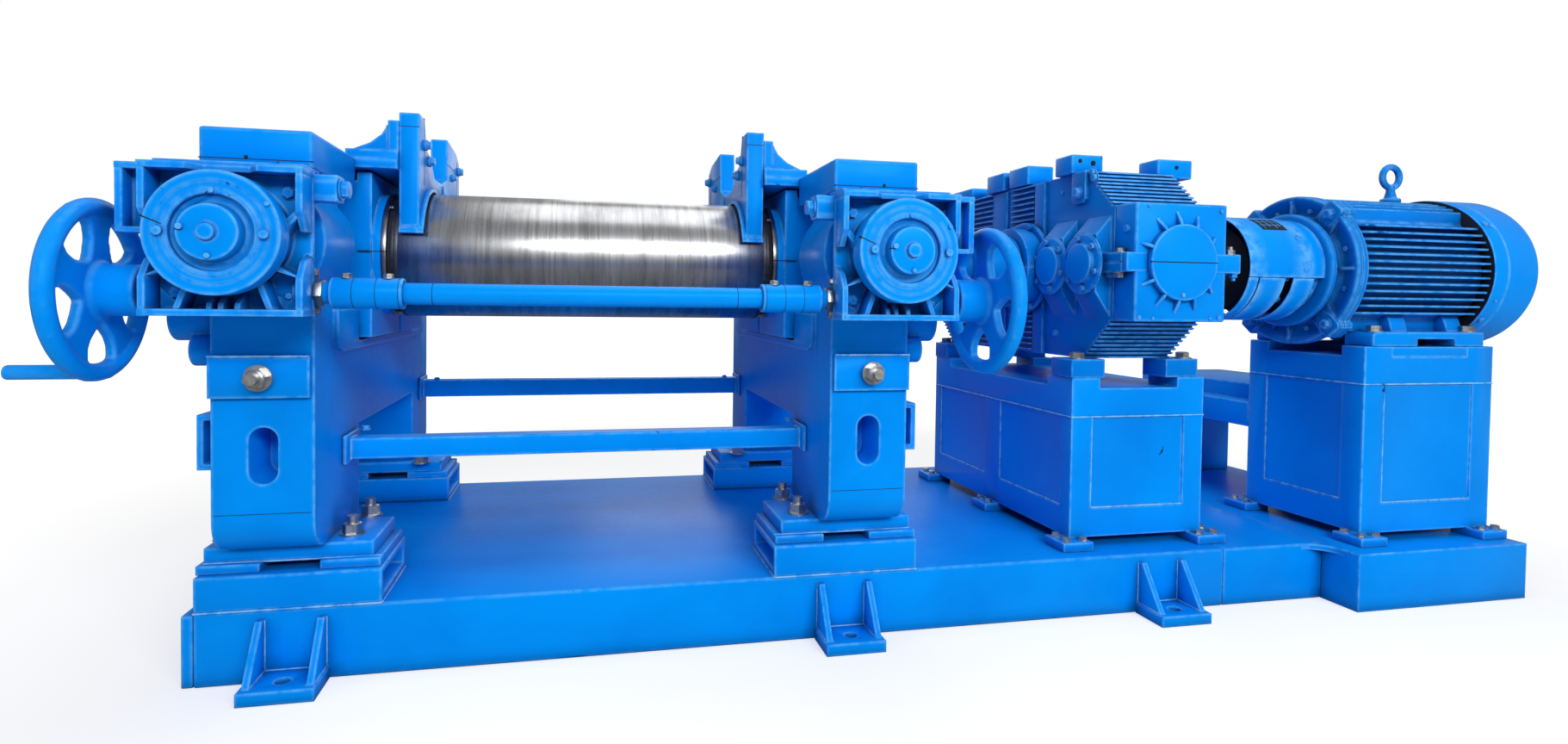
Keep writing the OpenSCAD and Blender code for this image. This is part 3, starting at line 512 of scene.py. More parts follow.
def nipCasting(g):
    w, low, high, wall, floor, face = g["wide"], g["low"], g["high"], g["wall"], g["floor"], g["face"]
    shapes = [
        block((-w, w), (floor, floor + 16), (low, high)),
        prism("z", [(-w, floor + 4), (-w, face), (-72, face), (-48, face + 36), (48, face + 36), (72, face),
            (w, face), (w, floor + 4)], high - wall, high),
        prism("z", [(-w, floor + 4), (-w, face), (-82, face), (-70, face + 8), (70, face + 8), (82, face),
            (w, face), (w, floor + 4)], low, low + wall),
        rod("y", (0, 0), g["drum"], face, floor + 4, 96),
        tube("y", (0, 0), g["drum"] - 1, g["drum"] + 7, face + 12, face + 30, 96),
    ]
    upperWeb = [(floor + 2, high - 1), (face + 1, high - 1), (face + 1, 55), (face + 34, 12), (floor + 2, 12)]
    lowerWeb = [(floor + 2, low + 1), (face + 1, low + 1), (face + 1, -98), (face + 30, -58), (floor + 2, -40)]
    for s in (-1, 1):
        side = sorted((s * (w - 1), s * (w - wall)))
        shapes += [prism("x", upperWeb, *side), prism("x", lowerWeb, *side)]
        for outline, near, far in (
                ([(w - 2, 56), (w - wall + 1, 62), (112, 22), (120, 4)], face + 10, floor + 3),
                ([(w - 2, -100), (w - 15, -92), (104, -66), (112, -82)], face + 8, floor + 3),
                ([(66, -108), (78, -104), (104, low + 12), (90, low + 12)], face + 10, floor + 4),
                ([(150, -172), (110, -172), (104, -164), (150, -120)], floor - 7, floor + 4)):
            shapes.append(prism("y", [(s * x, z) for x, z in outline], near, far))
    for x in (-32, -8, 26):
        shapes.append(prism("x", [(floor + 4, low + 8), (face + 14, low + 8), (face + 20, low + 30),
            (floor + 4, -118)], x - 6, x + 6))
    return shapes


nipLugs = [block(*row) for row in (  # X outward from the middle of the rolls
    ((689, 985.5), (-937, -850), (977, 1322)), ((692, 982), (-850, -828), (1033, 1302)),
    ((1050, 1067), (-929, -871), (1167, 1327)), ((984, 1066), (-886, -870), (1168, 1326)),
    ((983, 1067.5), (-930, -872), (1312, 1328)), ((982, 1060), (-928, -875), (1166, 1180)),
    ((599, 691), (-930, -918), (1253, 1315)), ((597.5, 692), (-929, -870), (1300, 1316)),
    ((598.5, 690), (-929, -871), (1252, 1264)), ((612, 690), (-920, -872), (1262, 1302)),
    ((660, 975), (-964, -850), (1320, 1333)))]
shaftAt = (shaftY, shaftZ)
plate = wrapped([(*shaftAt, 37), (shaftY + 6, shaftZ - 42, 15), (shaftY - 4, shaftZ + 47, 15)])
nipLugs += [
    prism("x", plate, 652, 668), rod("x", shaftAt, 40, 666, 691),
    prism("x", wrapped([(*shaftAt, 45), (shaftY, shaftZ + 20, 34)]), 984, 994)]
nipBody = bodyOf["nip_gearboxes"]
castings = built("nipCastings", blueEnamel, nipBody, atGearboxes(nipCasting(nipBox)), 4.0, 2)
built("nipLugPlates", blueEnamel, nipBody, bothSides(nipLugs), 3.0, 2)
addScrews("nipBolts", "bolt", blueEnamel, nipBody, screwsAtGearboxes([
    (118, -938, 105, 15), (-120, -938, 106, 15), (-118, -938, -132, 15), (118, -938, -138, 9),
    (150, -938, 118, 9), (-20, -962, -130, 8)]))
addScrews("nipFlangeBolts", "bolt", zincSteel, nipBody, screwsBoth(facing(leftward, [
    (652, -907, 991, 11), (652, -917, 1080, 11), (688, -872, 996, 14)])))
lugBolts = facing(leftward, [(597.5, -902, 1284, 24)])
lugBolts += facing(rightward, [(1067.5, -902, 1288, 8), (1067.5, -902, 1204, 8)])
addScrews("nipLugBolts", "bolt", blueEnamel, nipBody, screwsBoth(lugBolts))
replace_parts(castings, "nip_gearboxes")

# round covers of the gearboxes: a ring, a groove, a boss and a knob
coverProfile = [  # radius and place along Y
    (0, -1008), (118, -1008), (138.5, -1008), (138.5, -1054), (137.5, -1056.5), (135, -1058), (115, -1058),
    (114, -1057), (113, -1058), (98, -1058), (96, -1060.5), (88, -1060.5), (85, -1058), (83, -1048),
    (81, -1047), (70, -1046), (66, -1048), (64, -1052), (62, -1076), (61, -1079), (58, -1080), (21, -1080),
    (19, -1079), (18, -1080), (18, -1089), (17, -1091), (14, -1092), (0, -1092)]
coverBody = bodyOf["gearbox_covers"]
rounds = atGearboxes([lathe("y", (0, 0), coverProfile, 120)])
covers = built("nipCovers", blueEnamel, coverBody, rounds, 0, 2, 24)
# painted shade: near-black hairlines for the cover's split
seam = [prism("y", [(-138.7, 32), (-138.7, 35), (-84, 12), (-84, 10)], -1058.6, -1048),
    prism("y", [(-62.5, 3), (-62.5, 5), (-47, 4), (-47, 2.4)], -1080.5, -1070)]
built("nipCoverSeams", shadow, coverBody, atGearboxes(seam), 0)
addScrews("nipCoverScrews", "socket", blueEnamel, coverBody, screwsAtGearboxes([
    (-101, -1057.5, 1, 13), (107, -1057.5, -2, 13), (2, -1057.5, 92, 8), (112, -1057.5, 66, 7),
    (-51, -1079.5, 10, 9), (2, -1079.5, -52, 8)]))
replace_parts(covers, "gearbox_covers")
print("gearboxes built")

# handwheels: a ring, five flared spokes and a hub cast in one
wheel = {
    "plane": 1110.5, "ring": 189, "tube": 21, "web": 12, "turn": 18,
    # distance out and half width
    "spoke": [(0, 50), (60, 48), (88, 39), (115, 34), (140, 38), (160, 52), (174, 70), (189, 94)],
    "hub": [(0, 1009.5), (56, 1009.5), (59, 1011), (60, 1014), (60, 1086), (62, 1094), (68, 1100), (76, 1104),
        (76, 1112), (58, 1122), (50, 1128), (0, 1128.5)],
}


def castWheel(name, body, sides, extra=()):
    ring = [(wheel["ring"] + wheel["tube"] * math.cos(a), wheel["plane"] + wheel["tube"] * math.sin(a))
            for a in (2 * math.pi * i / 28 for i in range(29))]
    shapes = [lathe("x", shaftAt, ring, 120), lathe("x", shaftAt, wheel["hub"], 72), *extra]
    spoke = wheel["spoke"] + [(d, -h) for d, h in reversed(wheel["spoke"])]
    for i in range(5):
        a = math.radians(wheel["turn"] + 72 * i)
        c, s = math.cos(a), math.sin(a)
        outline = [(shaftY + d * c - h * s, shaftZ + d * s + h * c) for d, h in spoke]
        shapes.append(prism("x", outline, wheel["plane"] - wheel["web"], wheel["plane"] + wheel["web"]))
    obj = built(name, blueEnamel, body, bothSides(shapes, sides), 0)
    remesh = obj.modifiers.new("cast", "REMESH")
    remesh.mode, remesh.voxel_size = "VOXEL", 0.0042
    soft = obj.modifiers.new("soft", "SMOOTH")
    soft.factor, soft.iterations = 0.5, 5
    flatten(obj)
    smoothed(obj.data, 60)
    return obj


wheelBody, crank = bodyOf["handwheel_left"], span("crank_handle")
crankAxis, left, right = (midOf(crank, 1), midOf(crank, 2)), (-1,), (1,)
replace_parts(castWheel("handwheelLeft", wheelBody, left, [rod("x", crankAxis, 20, 1112, 1136)]), "handwheel_left")
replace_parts(castWheel("handwheelRight", wheelBody, right), "handwheel_right")
turns = [math.pi * (i / 3 + 0.08) for i in range(6)]
hexagon = [(shaftY + 34 * math.cos(a), shaftZ + 34 * math.sin(a)) for a in turns]
steelOnShaft = [
    prism("x", hexagon, 631, 650.5), rod("x", shaftAt, 28.5, 650, 652.5), rod("x", shaftAt, 23, 985.5, 1009.5)]
built("shaftNuts", turnedSteel, wheelBody, bothSides(steelOnShaft), 2.5, 2)
print("handwheels built")

# motor: end shield, finned frame, cowl and eye, all round one axis
cowl, shield = span("fan_cowl"), span("end_shield")
guardBox, motorBox = span("coupling_guard"), span("motor_frame")
motorY, driveZ = midOf(cowl, 1), midOf(cowl, 2)
motorAxis = (motorY, driveZ)
motor = {
    "face": shield[0][0] + 22, "rim": shield[1][0], "end": cowl[0][0], "tail": cowl[1][0],
    "feet": shield[1][0] + 59, "footTop": motorBox[0][2] + 52,
    "rimR": 278, "coreR": 238, "finR": 272, "cowlR": (cowl[1][2] - cowl[0][2]) / 2,
    "fins": 13, "pitch": 26, "fin": 8, "lugs": (40, 140, 220, 320),
}


def turnedX(shape, degrees):  # turned round the motor's axis from upright towards the front
    c, s = math.cos(math.radians(degrees)), math.sin(math.radians(degrees))
    return moved(shape, lambda x, y, z: (x, motorY + y * c - z * s, driveZ + y * s + z * c))


def onRing(x, radius, degrees, axis, d):  # a screw on a ring round the motor's axis
    c, s = math.cos(math.radians(degrees)), math.sin(math.radians(degrees))
    return ((x, motorY - radius * s, driveZ + radius * c), axis, d)


def motorShield(m):
    face, rim, r = m["face"], m["rim"], m["rimR"]
    dish = [
        (0, 1428), (150, 1428), (199, 1430), (207, 1434), (211, 1440), (211, 1452), (206, 1458), (199, 1462),
        (198, 1476), (206, 1484), (222, 1486), (240, 1480), (256, face + 4), (264, face), (r - 6, face),
        (r - 1, face + 4), (r, face + 9), (r, face + 20), (r - 3, face + 21), (r - 3, face + 23),
        (r, face + 24), (r, rim - 4), (r - 4, rim), (m["coreR"] + 4, rim + 4), (0, rim + 4)]
    outline = [(-44, 196), (-38, r + 10), (-28, r + 20), (28, r + 20), (38, r + 10), (44, 196)]
    plate = [
        (-15, 204), (-34, 238), (-34, r + 8), (-26, r + 18), (26, r + 18), (34, r + 8), (34, 238), (15, 204)]
    lugRib = [(1466, 196), (1466, 206), (face, 250), (rim, 250), (rim, 190)]
    midRib = [(1466, 196), (1466, 206), (face + 1, 262), (rim, 262), (rim, 190)]
    shapes = [lathe("x", motorAxis, dish, 96)]
    for a in m["lugs"]:
        shapes.append(turnedX(prism("x", outline, face + 2, face + 20.5), a))
        shapes.append(turnedX(prism("x", outline, face + 23.5, rim + 8), a))
        shapes.append(turnedX(prism("x", plate, face - 4, face + 20.5), a))
        shapes.append(turnedX(prism("y", lugRib, -9, 9), a))
    for a in (0, 90, 180, 270):
        shapes.append(turnedX(prism("y", midRib, -5, 5), a))
    return shapes


def motorFins(m):
    start, end, core, far = m["rim"] + 4, m["end"] - 8, m["coreR"], m["finR"]
    shapes = [lathe("x", motorAxis, [(0, start - 4), (core, start - 4), (core, end), (0, end)], 96)]
    reach = m["fins"] // 2
    for i in range(-reach, reach + 1):
        off = i * m["pitch"]
        inner, outer = math.sqrt(core ** 2 - off ** 2) - 12, math.sqrt(far ** 2 - off ** 2)
        outline = [
            (start - 2, inner), (start - 2, inner + 16), (start + 40, outer), (end - 4, outer),
            (end, outer - 4), (end, inner)]
        for a in (0, 90, 180, 270):
            if a == 180 and abs(i) < 6:
                continue
            shapes.append(turnedX(prism("y", outline, off - m["fin"] / 2, off + m["fin"] / 2), a))
    return shapes


def motorFeet(low, high):
    base, top, end, shapes = *high, motor["end"] - 3, []
    for s in (-1, 1):
        y = sorted((motorY + s * 139, motorY + s * 249))
        foot = [
            (low, base), (low, top - 12), (low + 12, top), (end, top), (end, base), (low + 366, base),
            (low + 366, base + 26), (low + 199, base + 26), (low + 199, base)]
        shapes.append(prism("y", foot, *y))
        web = [(motorY + s * out, z) for out, z in (
            (207, top - 3), (196, top + 36), (172, top + 92), (150, 1060), (100, 1010), (100, top - 3))]
        for x in (low + 131, low + 383):
            shapes.append(prism("x", web, x, x + 73))
    return shapes


motorBody = bodyOf["motor_frame"]
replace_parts(built("motorShield", castEnamel, motorBody, motorShield(motor), 3.0, 2), "end_shield")
frameFins = built("motorFins", castEnamel, motorBody, motorFins(motor), 2.2, 2)
built("motorFeet", blueEnamel, motorBody, motorFeet(motor["feet"], (motorBox[0][2], motor["footTop"])), 5.0, 2)
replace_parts(frameFins, "motor_frame")

# place along the axis, ring and its wire, how far the ring's middle is under the top, neck as radius and height
eye = {
    "x": motor["rim"] + 416, "ring": 40, "wire": 12, "under": 52,
    "neck": [(0, 250), (34, 250), (34, 284), (31, 288), (22, 290), (19, 300), (15, 316), (15, 340), (0, 344)],
}
turns = [2 * math.pi * i / 20 for i in range(21)]
eyeWire = [(eye["ring"] + eye["wire"] * math.cos(a), eye["wire"] * math.sin(a) + motorY) for a in turns]
built("liftingEye", castEnamel, motorBody, [
    lathe("y", (eye["x"], motorBox[1][2] - eye["under"]), eyeWire, 60),
    lathe("z", (eye["x"], motorY), [(r, driveZ + h) for r, h in eye["neck"]], 40)], 0)

shellR, cowlEdge, tail = motor["cowlR"], motor["end"] - 10, motor["tail"]
backFace = tail - 0.5
cowlProfile = [
    (shellR - 4, cowlEdge), (shellR - 1, cowlEdge - 1), (shellR, cowlEdge + 1), (shellR, cowlEdge + 62),
    (shellR - 1.2, cowlEdge + 64), (shellR, cowlEdge + 66), (shellR, tail - 30), (shellR - 3, tail - 16),
    (shellR - 10, tail - 6), (shellR - 22, backFace), (60, backFace), (56, backFace - 3), (0, backFace - 3)]
cowlShell = built("fanCowlShell", blueEnamel, motorBody, [lathe("x", motorAxis, cowlProfile, 120)], 0, 2, 30)
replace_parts(cowlShell, "fan_cowl")
# painted shade: dark rings on the back stand for the shade in the grille's openings
grille = [tube("x", motorAxis, r, r + 9, tail - 2.5, tail - 0.1, 72) for r in range(74, 250, 18)]
built("fanGrilleSlots", shadow, motorBody, grille, 0)
# painted shade: a dark ring where the fins run in under the cowl
built("cowlGap", shadow, motorBody,
    [tube("x", motorAxis, motor["coreR"] - 4, shellR - 5, motor["end"] - 9, motor["end"] - 3, 96)], 0)
shieldBolts = [onRing(motor["face"] - 4, 258, a, leftward, 19) for a in motor["lugs"]]
shieldBolts += [onRing(1485, 228, a, leftward, 11) for a in (18, 72, 108, 162, 198, 252, 288, 342)]
addScrews("shieldBolts", "bolt", castEnamel, motorBody, shieldBolts)


def outward(x, radius, degrees, d):  # a screw that points away from the motor's axis
    a = math.radians(degrees)
    return onRing(x, radius, degrees, (0, -math.sin(a), math.cos(a)), d)


cowlScrews = ((22, 52, 13), (46, 54, 8), (30, 112, 8), (22, 128, 13), (22, 232, 13), (22, 308, 13))
addScrews("cowlScrews", "plug", blueEnamel, motorBody,
    [outward(cowlEdge + x, shellR - 0.5, a, d) for x, a, d in cowlScrews])
print("motor built")

# coupling guard: an upper shell, banded lower halves and the coupling inside


def arcBand(near, far, radius, wall, start, stop, steps=48):
    turn = [math.radians(start + (stop - start) * i / steps) for i in range(steps + 1)]
    outer = [(motorY + radius * math.cos(a), driveZ + radius * math.sin(a)) for a in turn]
    radius -= wall
    inner = [(motorY + radius * math.cos(a), driveZ + radius * math.sin(a)) for a in reversed(turn)]
    return prism("x", outer + inner, near, far)


guard = {"near": guardBox[0][0], "radius": (guardBox[1][2] - guardBox[0][2]) / 2, "wall": 4, "split": 10.5}
guardX, guardR, wall, split = guard.values()  # split: degrees below level where the halves meet
below = (180 + split + 0.6, 360 - split - 0.6)
guardBody = bodyOf["coupling_guard"]
guardShell = [
    arcBand(guardX, 1368, guardR, wall, -split, 180 + split),
    arcBand(1364, 1430, guardR - 3, wall, -split, 180 + split),
    arcBand(guardX, guardX + 40, guardR - 1, wall, *below),
    arcBand(guardX + 46, 1262, guardR - 1, wall, *below),
    arcBand(1296, 1384, guardR - 1, wall, *below),
    arcBand(1384, 1430, guardR - 26, wall, 180 + split, 360 - split),
]
shell = built("guardShell", blueEnamel, guardBody, guardShell, 1.2, 2)
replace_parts(shell, "coupling_guard")
hubs = [
    (46, 1040), (96, 1040), (104, 1048), (104, 1130), (150, 1140), (150, 1228), (128, 1236), (128, 1262),
    (152, 1270), (152, 1330), (100, 1340), (100, 1420), (46, 1420)]
# painted shade: the coupling inside the guard is near-black, for the shade within it
built("couplingHubs", shadow, guardBody, [lathe("x", motorAxis, hubs, 72)], 0)
couplingBolts = [outward(1288, 158, a, 14) for a in range(12, 360, 30)]
couplingBolts += [outward(1404, 163, a, 12) for a in (100, 118, 136, 154)]
addScrews("couplingBolts", "bolt", castEnamel, guardBody, couplingBolts)
# painted shade: a dark sheet on the guard for the shade seen through its window
built("guardWindow", shadow, guardBody, [arcBand(1214, 1318, guardR + 0.8, wall, 110, 134, 12)], 0)
slants = ((1230, 0), (1256, 3), (1281, 1), (1301, 4))
bars = [arcBand(x, x + 3, guardR + 1.6, 3, 112 + k, 132 - k, 12) for x, k in slants]
bars += [arcBand(1222, 1310, guardR + 1.6, 3, a, a + 0.8, 3) for a in (117.5, 125)]
built("guardWindowBars", castEnamel, guardBody, bars, 0)
addScrews("guardScrews", "plug", blueEnamel, guardBody, [outward(x, guardR - 1, a, 7) for x, a in (
    (1333, 56), (1344, 52), (1340, 92), (1355, 54), (1122, 38))])
print("guard built")

# reducer: ribs, bolts, seams and webs on the housing
upper, frontBox, covered = span("reducer_upper"), span("front_box"), span("reducer_covers")
boxFace = frontBox[0][1]
discX, discR, discFace = midOf(frontBox, 0) - 6, 122, boxFace - 24
sideX, farX, redTop = frontBox[0][0], frontBox[1][0], upper[1][2]
redBody = bodyOf["reducer_upper"]
bulges = (-620, -432)  # where the bearing covers on the left side sit in Y

pitch = 21.5
ribs = {
    "near": (-235, -66), "far": (87, 392), "thick": 8, "proud": 17,
    "upper": [redTop - 9 - pitch * i for i in range(8)],
    "lower": [driveZ - 325 + 12 + pitch * i for i in range(7)],
}


def sideRibs(r):
    shapes, foot, crest = [], sideX + 2, sideX - r["proud"]
    for near, far in (r["near"], r["far"]):
        outline = [(foot, near), (crest + 8, near), (crest, near + 8), (crest, far - 8), (crest + 8, far),
            (foot, far)]
        for z in r["upper"] + r["lower"]:
            shapes.append(prism("z", outline, z - r["thick"] / 2, z + r["thick"] / 2))
    low, high = r["lower"][0] - 12, r["upper"][0] + 4
    for proud, y in ((13, (-306, -240)), (9, (-30, 86)), (13, (396, 446))):
        shapes.append(block((sideX - proud, sideX + 2), y, (low, high)))
    # lug plate under the front top block
    lug = [(-476, 1490), (-476, 1392), (-492, 1378), (-540, 1378), (-556, 1392), (-556, 1490)]
    shapes.append(prism("x", lug, sideX - 15, sideX + 2))
    # flange and upright strip where the halves meet the front box
    shapes.append(block((sideX - 37, sideX + 2), (-662, -640), (driveZ - 64, driveZ + 64)))
    return shapes


built("reducerRibs", castEnamel, redBody, sideRibs(ribs), 3.0, 3)


def coverBolts(x, y, radius, d, count=6, turn=20):
    rows = []
    for i in range(count):
        a = math.radians(turn + 360 * i / count)
        rows.append(((x, y + radius * math.cos(a), driveZ + radius * math.sin(a)), leftward, d))
    return rows


coverRows = [row for y in bulges for row in coverBolts(covered[0][0] + 14, y, 84, 12)]
for y in (rollY, -rollY):
    coverRows += coverBolts(sideX - 40, y, 162, 13, 8)
addScrews("reducerCoverBolts", "bolt", castEnamel, redBody, coverRows)
rings = [tube("x", (y, driveZ), 96, 104, covered[0][0] + 16, covered[0][0] + 22, 72) for y in bulges]
rings += [tube("x", (y, driveZ), 146, 174, sideX - 40, sideX - 26, 72) for y in (rollY, -rollY)]
built("reducerRings", castEnamel, redBody, rings, 1.5)

# round front cover: split line and cast ribs that run out from its rim
spokes = []
for a in (32, 67, 95, 122, 157, 208, 238, 264, 291, 322):
    c, s = math.cos(math.radians(a)), math.sin(math.radians(a))
    long = 164 if a in (67, 95, 122, 238, 264, 291) else 157
    outline = [(boxFace + 2, 116), (boxFace - 21, 116), (boxFace - 19, 130), (boxFace - 2, long),
        (boxFace + 2, long)]
    rib = prism("x", outline, -5, 5)
    spokes.append(moved(rib, lambda x, y, z, c=c, s=s: (discX + z * c - x * s, y, driveZ + z * s + x * c)))
built("coverSpokes", blueEnamel, redBody, spokes, 2.5, 2)
# painted shade: near-black strips for the split lines
cut, thin = (driveZ - 1.6, driveZ + 1.6), (driveZ - 1.3, driveZ + 1.3)
lines = [
    block((discX - discR - 0.4, discX + discR + 0.4), (discFace - 0.5, discFace + 6), cut),
    block((sideX - 36.5, discX - discR), (boxFace + 19.5, boxFace + 30), thin),
    block((discX + discR, farX + 58.5), (boxFace + 19.5, boxFace + 30), thin)]
built("splitLines", shadow, redBody, lines, 0)
flange = [block(x, (boxFace - 2, boxFace + 24), (driveZ - 31, driveZ + 31))
          for x in ((sideX - 33, discX - 120), (discX + 120, farX + 55))]
built("frontFlange", blueEnamel, redBody, flange, 3)

z0, z1, half = driveZ - 32, driveZ + 32, (frontBox[1][2] - frontBox[0][2]) / 2
footZ = span("reducer_lower")[0][2] + 64
reducerScrews = {  # style, finish and rows
    "flangeBolts": ("bolt", zincSteel, facing(upward, [(sideX - 17, boxFace + 52, z1, 16)])
        + facing(downward, [(sideX - 17, boxFace + 60, z0, 20)])),
    "flangeBoltsPainted": ("bolt", blueEnamel, facing(downward, [(sideX - 15, boxFace + 96, z0, 18)])
        + facing(upward, [(farX + 30, boxFace + 60, z1, 20), (farX + 34, boxFace + 100, z1, 18)])
        + facing(downward, [(farX + 30, boxFace + 60, z0, 20), (farX + 30, boxFace + 100, z0, 18)])),
    "flangeNuts": ("nut", zincSteel, facing(upward, [(farX + 27, boxFace + 13, driveZ + 30, 15)])),
    "flangeNutsPainted": ("nut", blueEnamel, facing(downward, [(farX + 40, boxFace + 13, driveZ - 30, 14)])),
    "frontBoxScrews": ("plug", blueEnamel, facing(forward, [(discX + x, boxFace, driveZ + z, d) for x, z, d in (
        (-146, -half + 14, 9), (150, -half + 14, 9), (152, half - 22, 9), (-118, half - 12, 7),
        (-96, -half + 10, 7), (118, -half + 12, 7))] + [(discX - 6, discFace, driveZ - 104, 9)])
        + facing(leftward, [(sideX - 0.5, boxFace + 40, driveZ + 108, 16)])),
    "lugBolts": ("bolt", blueEnamel, facing(leftward, [
        (sideX - 15, -520, 1418, 20), (sideX + 4, -586, redTop - 28, 15), (sideX + 2, -578, redTop - 8, 13),
        (sideX + 1, -380, 920, 14), (sideX + 1, -402, 1432, 8)])),
    # painted shade: these plugs take the near-black shade finish
    "blockScrews": ("plug", shadow, facing(forward, [
        (x, -486, redTop + up, d) for x, up, d in ((sideX + 11, 46, 8), (sideX + 63, 40, 10),
            (farX + 70, 40, 8))])),
    "reducerFootBolts": ("bolt", zincSteel, facing(upward, [
        (x, y, footZ, 26) for x in (sideX - 42, farX + 42) for y in (-570, 436)])),
}
for name, (style, mat, rows) in reducerScrews.items():
    addScrews(name, style, mat, redBody, rows)
print("reducer dressed")

# mill: bearing rings, guide strips, nuts, screws and welds
sleeve, soles, stop, tie = span("shaft_couplings"), span("leg_soles"), span("stop_blocks"), span("rear_tie_bar")
guide, bridge, rail, cap = span("stock_guides"), span("guide_bridges"), bar, capBox
risers, deckTop = span("stand_risers"), span("bed_frame")[1][2]
baseBody, frontBody = bodyOf["side_frame_left"], bodyOf["front_bearings"]
bearing = {"hub": frameIn - 82, "flange": frameIn - 48, "ring": rollR - 2.6, "roll": frameIn - 110}
bearingSides = {
    "front": (rollY, frontBody, bodyOf["front_roll"]),
    "rear": (-rollY, baseBody, bodyOf["rear_roll"]),
}


def bearingSeams(y, out):  # the split line on ring, hub and box, on the outer side
    hub, front = bearing["hub"], y + out * (bearing["ring"] + 1)
    near, far = sorted((front, y + out * (bearing["ring"] - 12)))
    face, back = sorted((y + out * 196.7, y + out * 190))
    return [
        block((hub - 7.2, hub + 9), (near, far), (rollZ - 1.6, rollZ + 1.6)),
        block((hub + 10, bearing["flange"]), (face, back), (rollZ - 1.2, rollZ + 1.2)),
        block((bearing["flange"] + 4, frameIn - 8), (face, back), (rollZ - 1.4, rollZ + 1.4)),
        block((hub - 7.2, hub + 9), (y + out * 143 - 8, y + out * 143 + 8), (rollZ + 130, rollZ + 133))]


for side, (y, box, rollBody) in bearingSides.items():
    hub, end, out = bearing["hub"], bearing["roll"] + 0.4, -1 if y < 0 else 1
    ball = [
        (0.01, hub - 19), (4.6, hub - 17.4), (7, hub - 12), (5.4, hub - 8), (3.6, hub - 7), (3.6, hub - 5),
        (0.01, hub - 5)]
    at, ballAt = (y, rollZ), (y + math.sqrt(195.5 ** 2 - 140 ** 2) * out, rollZ + 140)
    fittings = {  # finish, body, shapes and edge rounding
        "BearingRings": (turnedSteel, box, [tube("x", at, 120, bearing["ring"], hub - 6.5, hub + 9.5, 96)], 1.2),
        # painted shade: near-black strips for the split lines of ring, hub and box
        "BearingSeams": (shadow, box, bearingSeams(y, out), 0),
        "RollShoulders": (darkSteel, rollBody, [tube("x", at, 100, rollR - 12.5, end, hub - 16.5, 96)], 1.0),
        # painted shade: a black collar for the shaded gap beside the roll's shoulder
        "RollCollars": (shadow, rollBody, [tube("x", at, 100, rollR - 13.2, hub - 18, hub - 7.8, 96)], 0),
        "RollEnds": (darkSteel, rollBody, [tube("x", at, 188, rollR + 0.4, bearing["roll"] - 12, end, 96)], 1.0),
        "BallBolts": (zincSteel, box, [lathe("x", ballAt, ball, 20)], 0),
    }
    for name, (mat, body, shapes, edge) in fittings.items():
        built(side + name, mat, body, bothSides(shapes), edge)

# guides: a lip along the roll, through bolts and seams
guideOut, guideY, guideTop = guide[1][0] - millX, guide[1][1], guide[1][2]
guideIn = guideOut - 58


def lip(near, far, start, stop, inner, outer):  # around the front roll, angles from the top towards the front
    turns = [math.radians(start + (stop - start) * i / 24) for i in range(25)]
    outline = [(rollY - 5 - outer * math.sin(a), rollZ + outer * math.cos(a)) for a in turns]
    outline += [(rollY - 5 - inner * math.sin(a), rollZ + inner * math.cos(a)) for a in reversed(turns)]
    return prism("x", outline, near, far)


lips = [
    lip(guideIn - 13, guideIn + 5, -12, 74, 206.2, 217), lip(guideIn - 13, guideOut, 69.5, 74.2, 206.2, 217),
    prism("x", [(-y, z) for y, z in ((-12, 1372), (-12, 1420), (-78, 1372))], guideIn - 5, guideIn + 4)]
built("guideLips", blueEnamel, baseBody, bothSides(lips), 2.5)
inset = (guideIn - 0.6, guideIn + 4)
# painted shade: near-black strips for the guides' seams
seams = [
    block(inset, (-guideY + 82, -guideY + 84), (rollZ + 216, guideTop - 18)),
    block((guideIn - 0.6, guideOut + 0.5), (-guideY - 0.6, -guideY + 3), (guideTop - 62, guideTop - 60.4)),
    block(inset, (guideY - 60, guideY - 57), (rollZ + 216, guideTop - 46)),
    block(inset, (guideY - 290, guideY - 120), (guideTop - 92, guideTop - 90))]
built("guideSeams", shadow, baseBody, bothSides(seams), 0)
through = facing(leftward, [(guideIn - 8, y, z, d) for y, z, d in (
    (-330, 1502, 15), (-262, 1462, 15), (guideY - 42, 1524, 15), (guideY - 190, 1478, 12))])
guideBolts = through + facing(rightward, [
    (guideOut + 32, -guideY + 40, guideTop - 66, 14), (guideOut + 32, guideY - 60, guideTop - 60, 14)])
addScrews("guideBolts", "bolt", blueEnamel, baseBody, screwsBoth(guideBolts))
bosses = [rod("x", (y, z), d * 1.15, guideIn - 8.5, guideIn + 2, 24) for (x, y, z), axis, d in through]
built("guideBoltBosses", blueEnamel, baseBody, bothSides(bosses), 1.5)

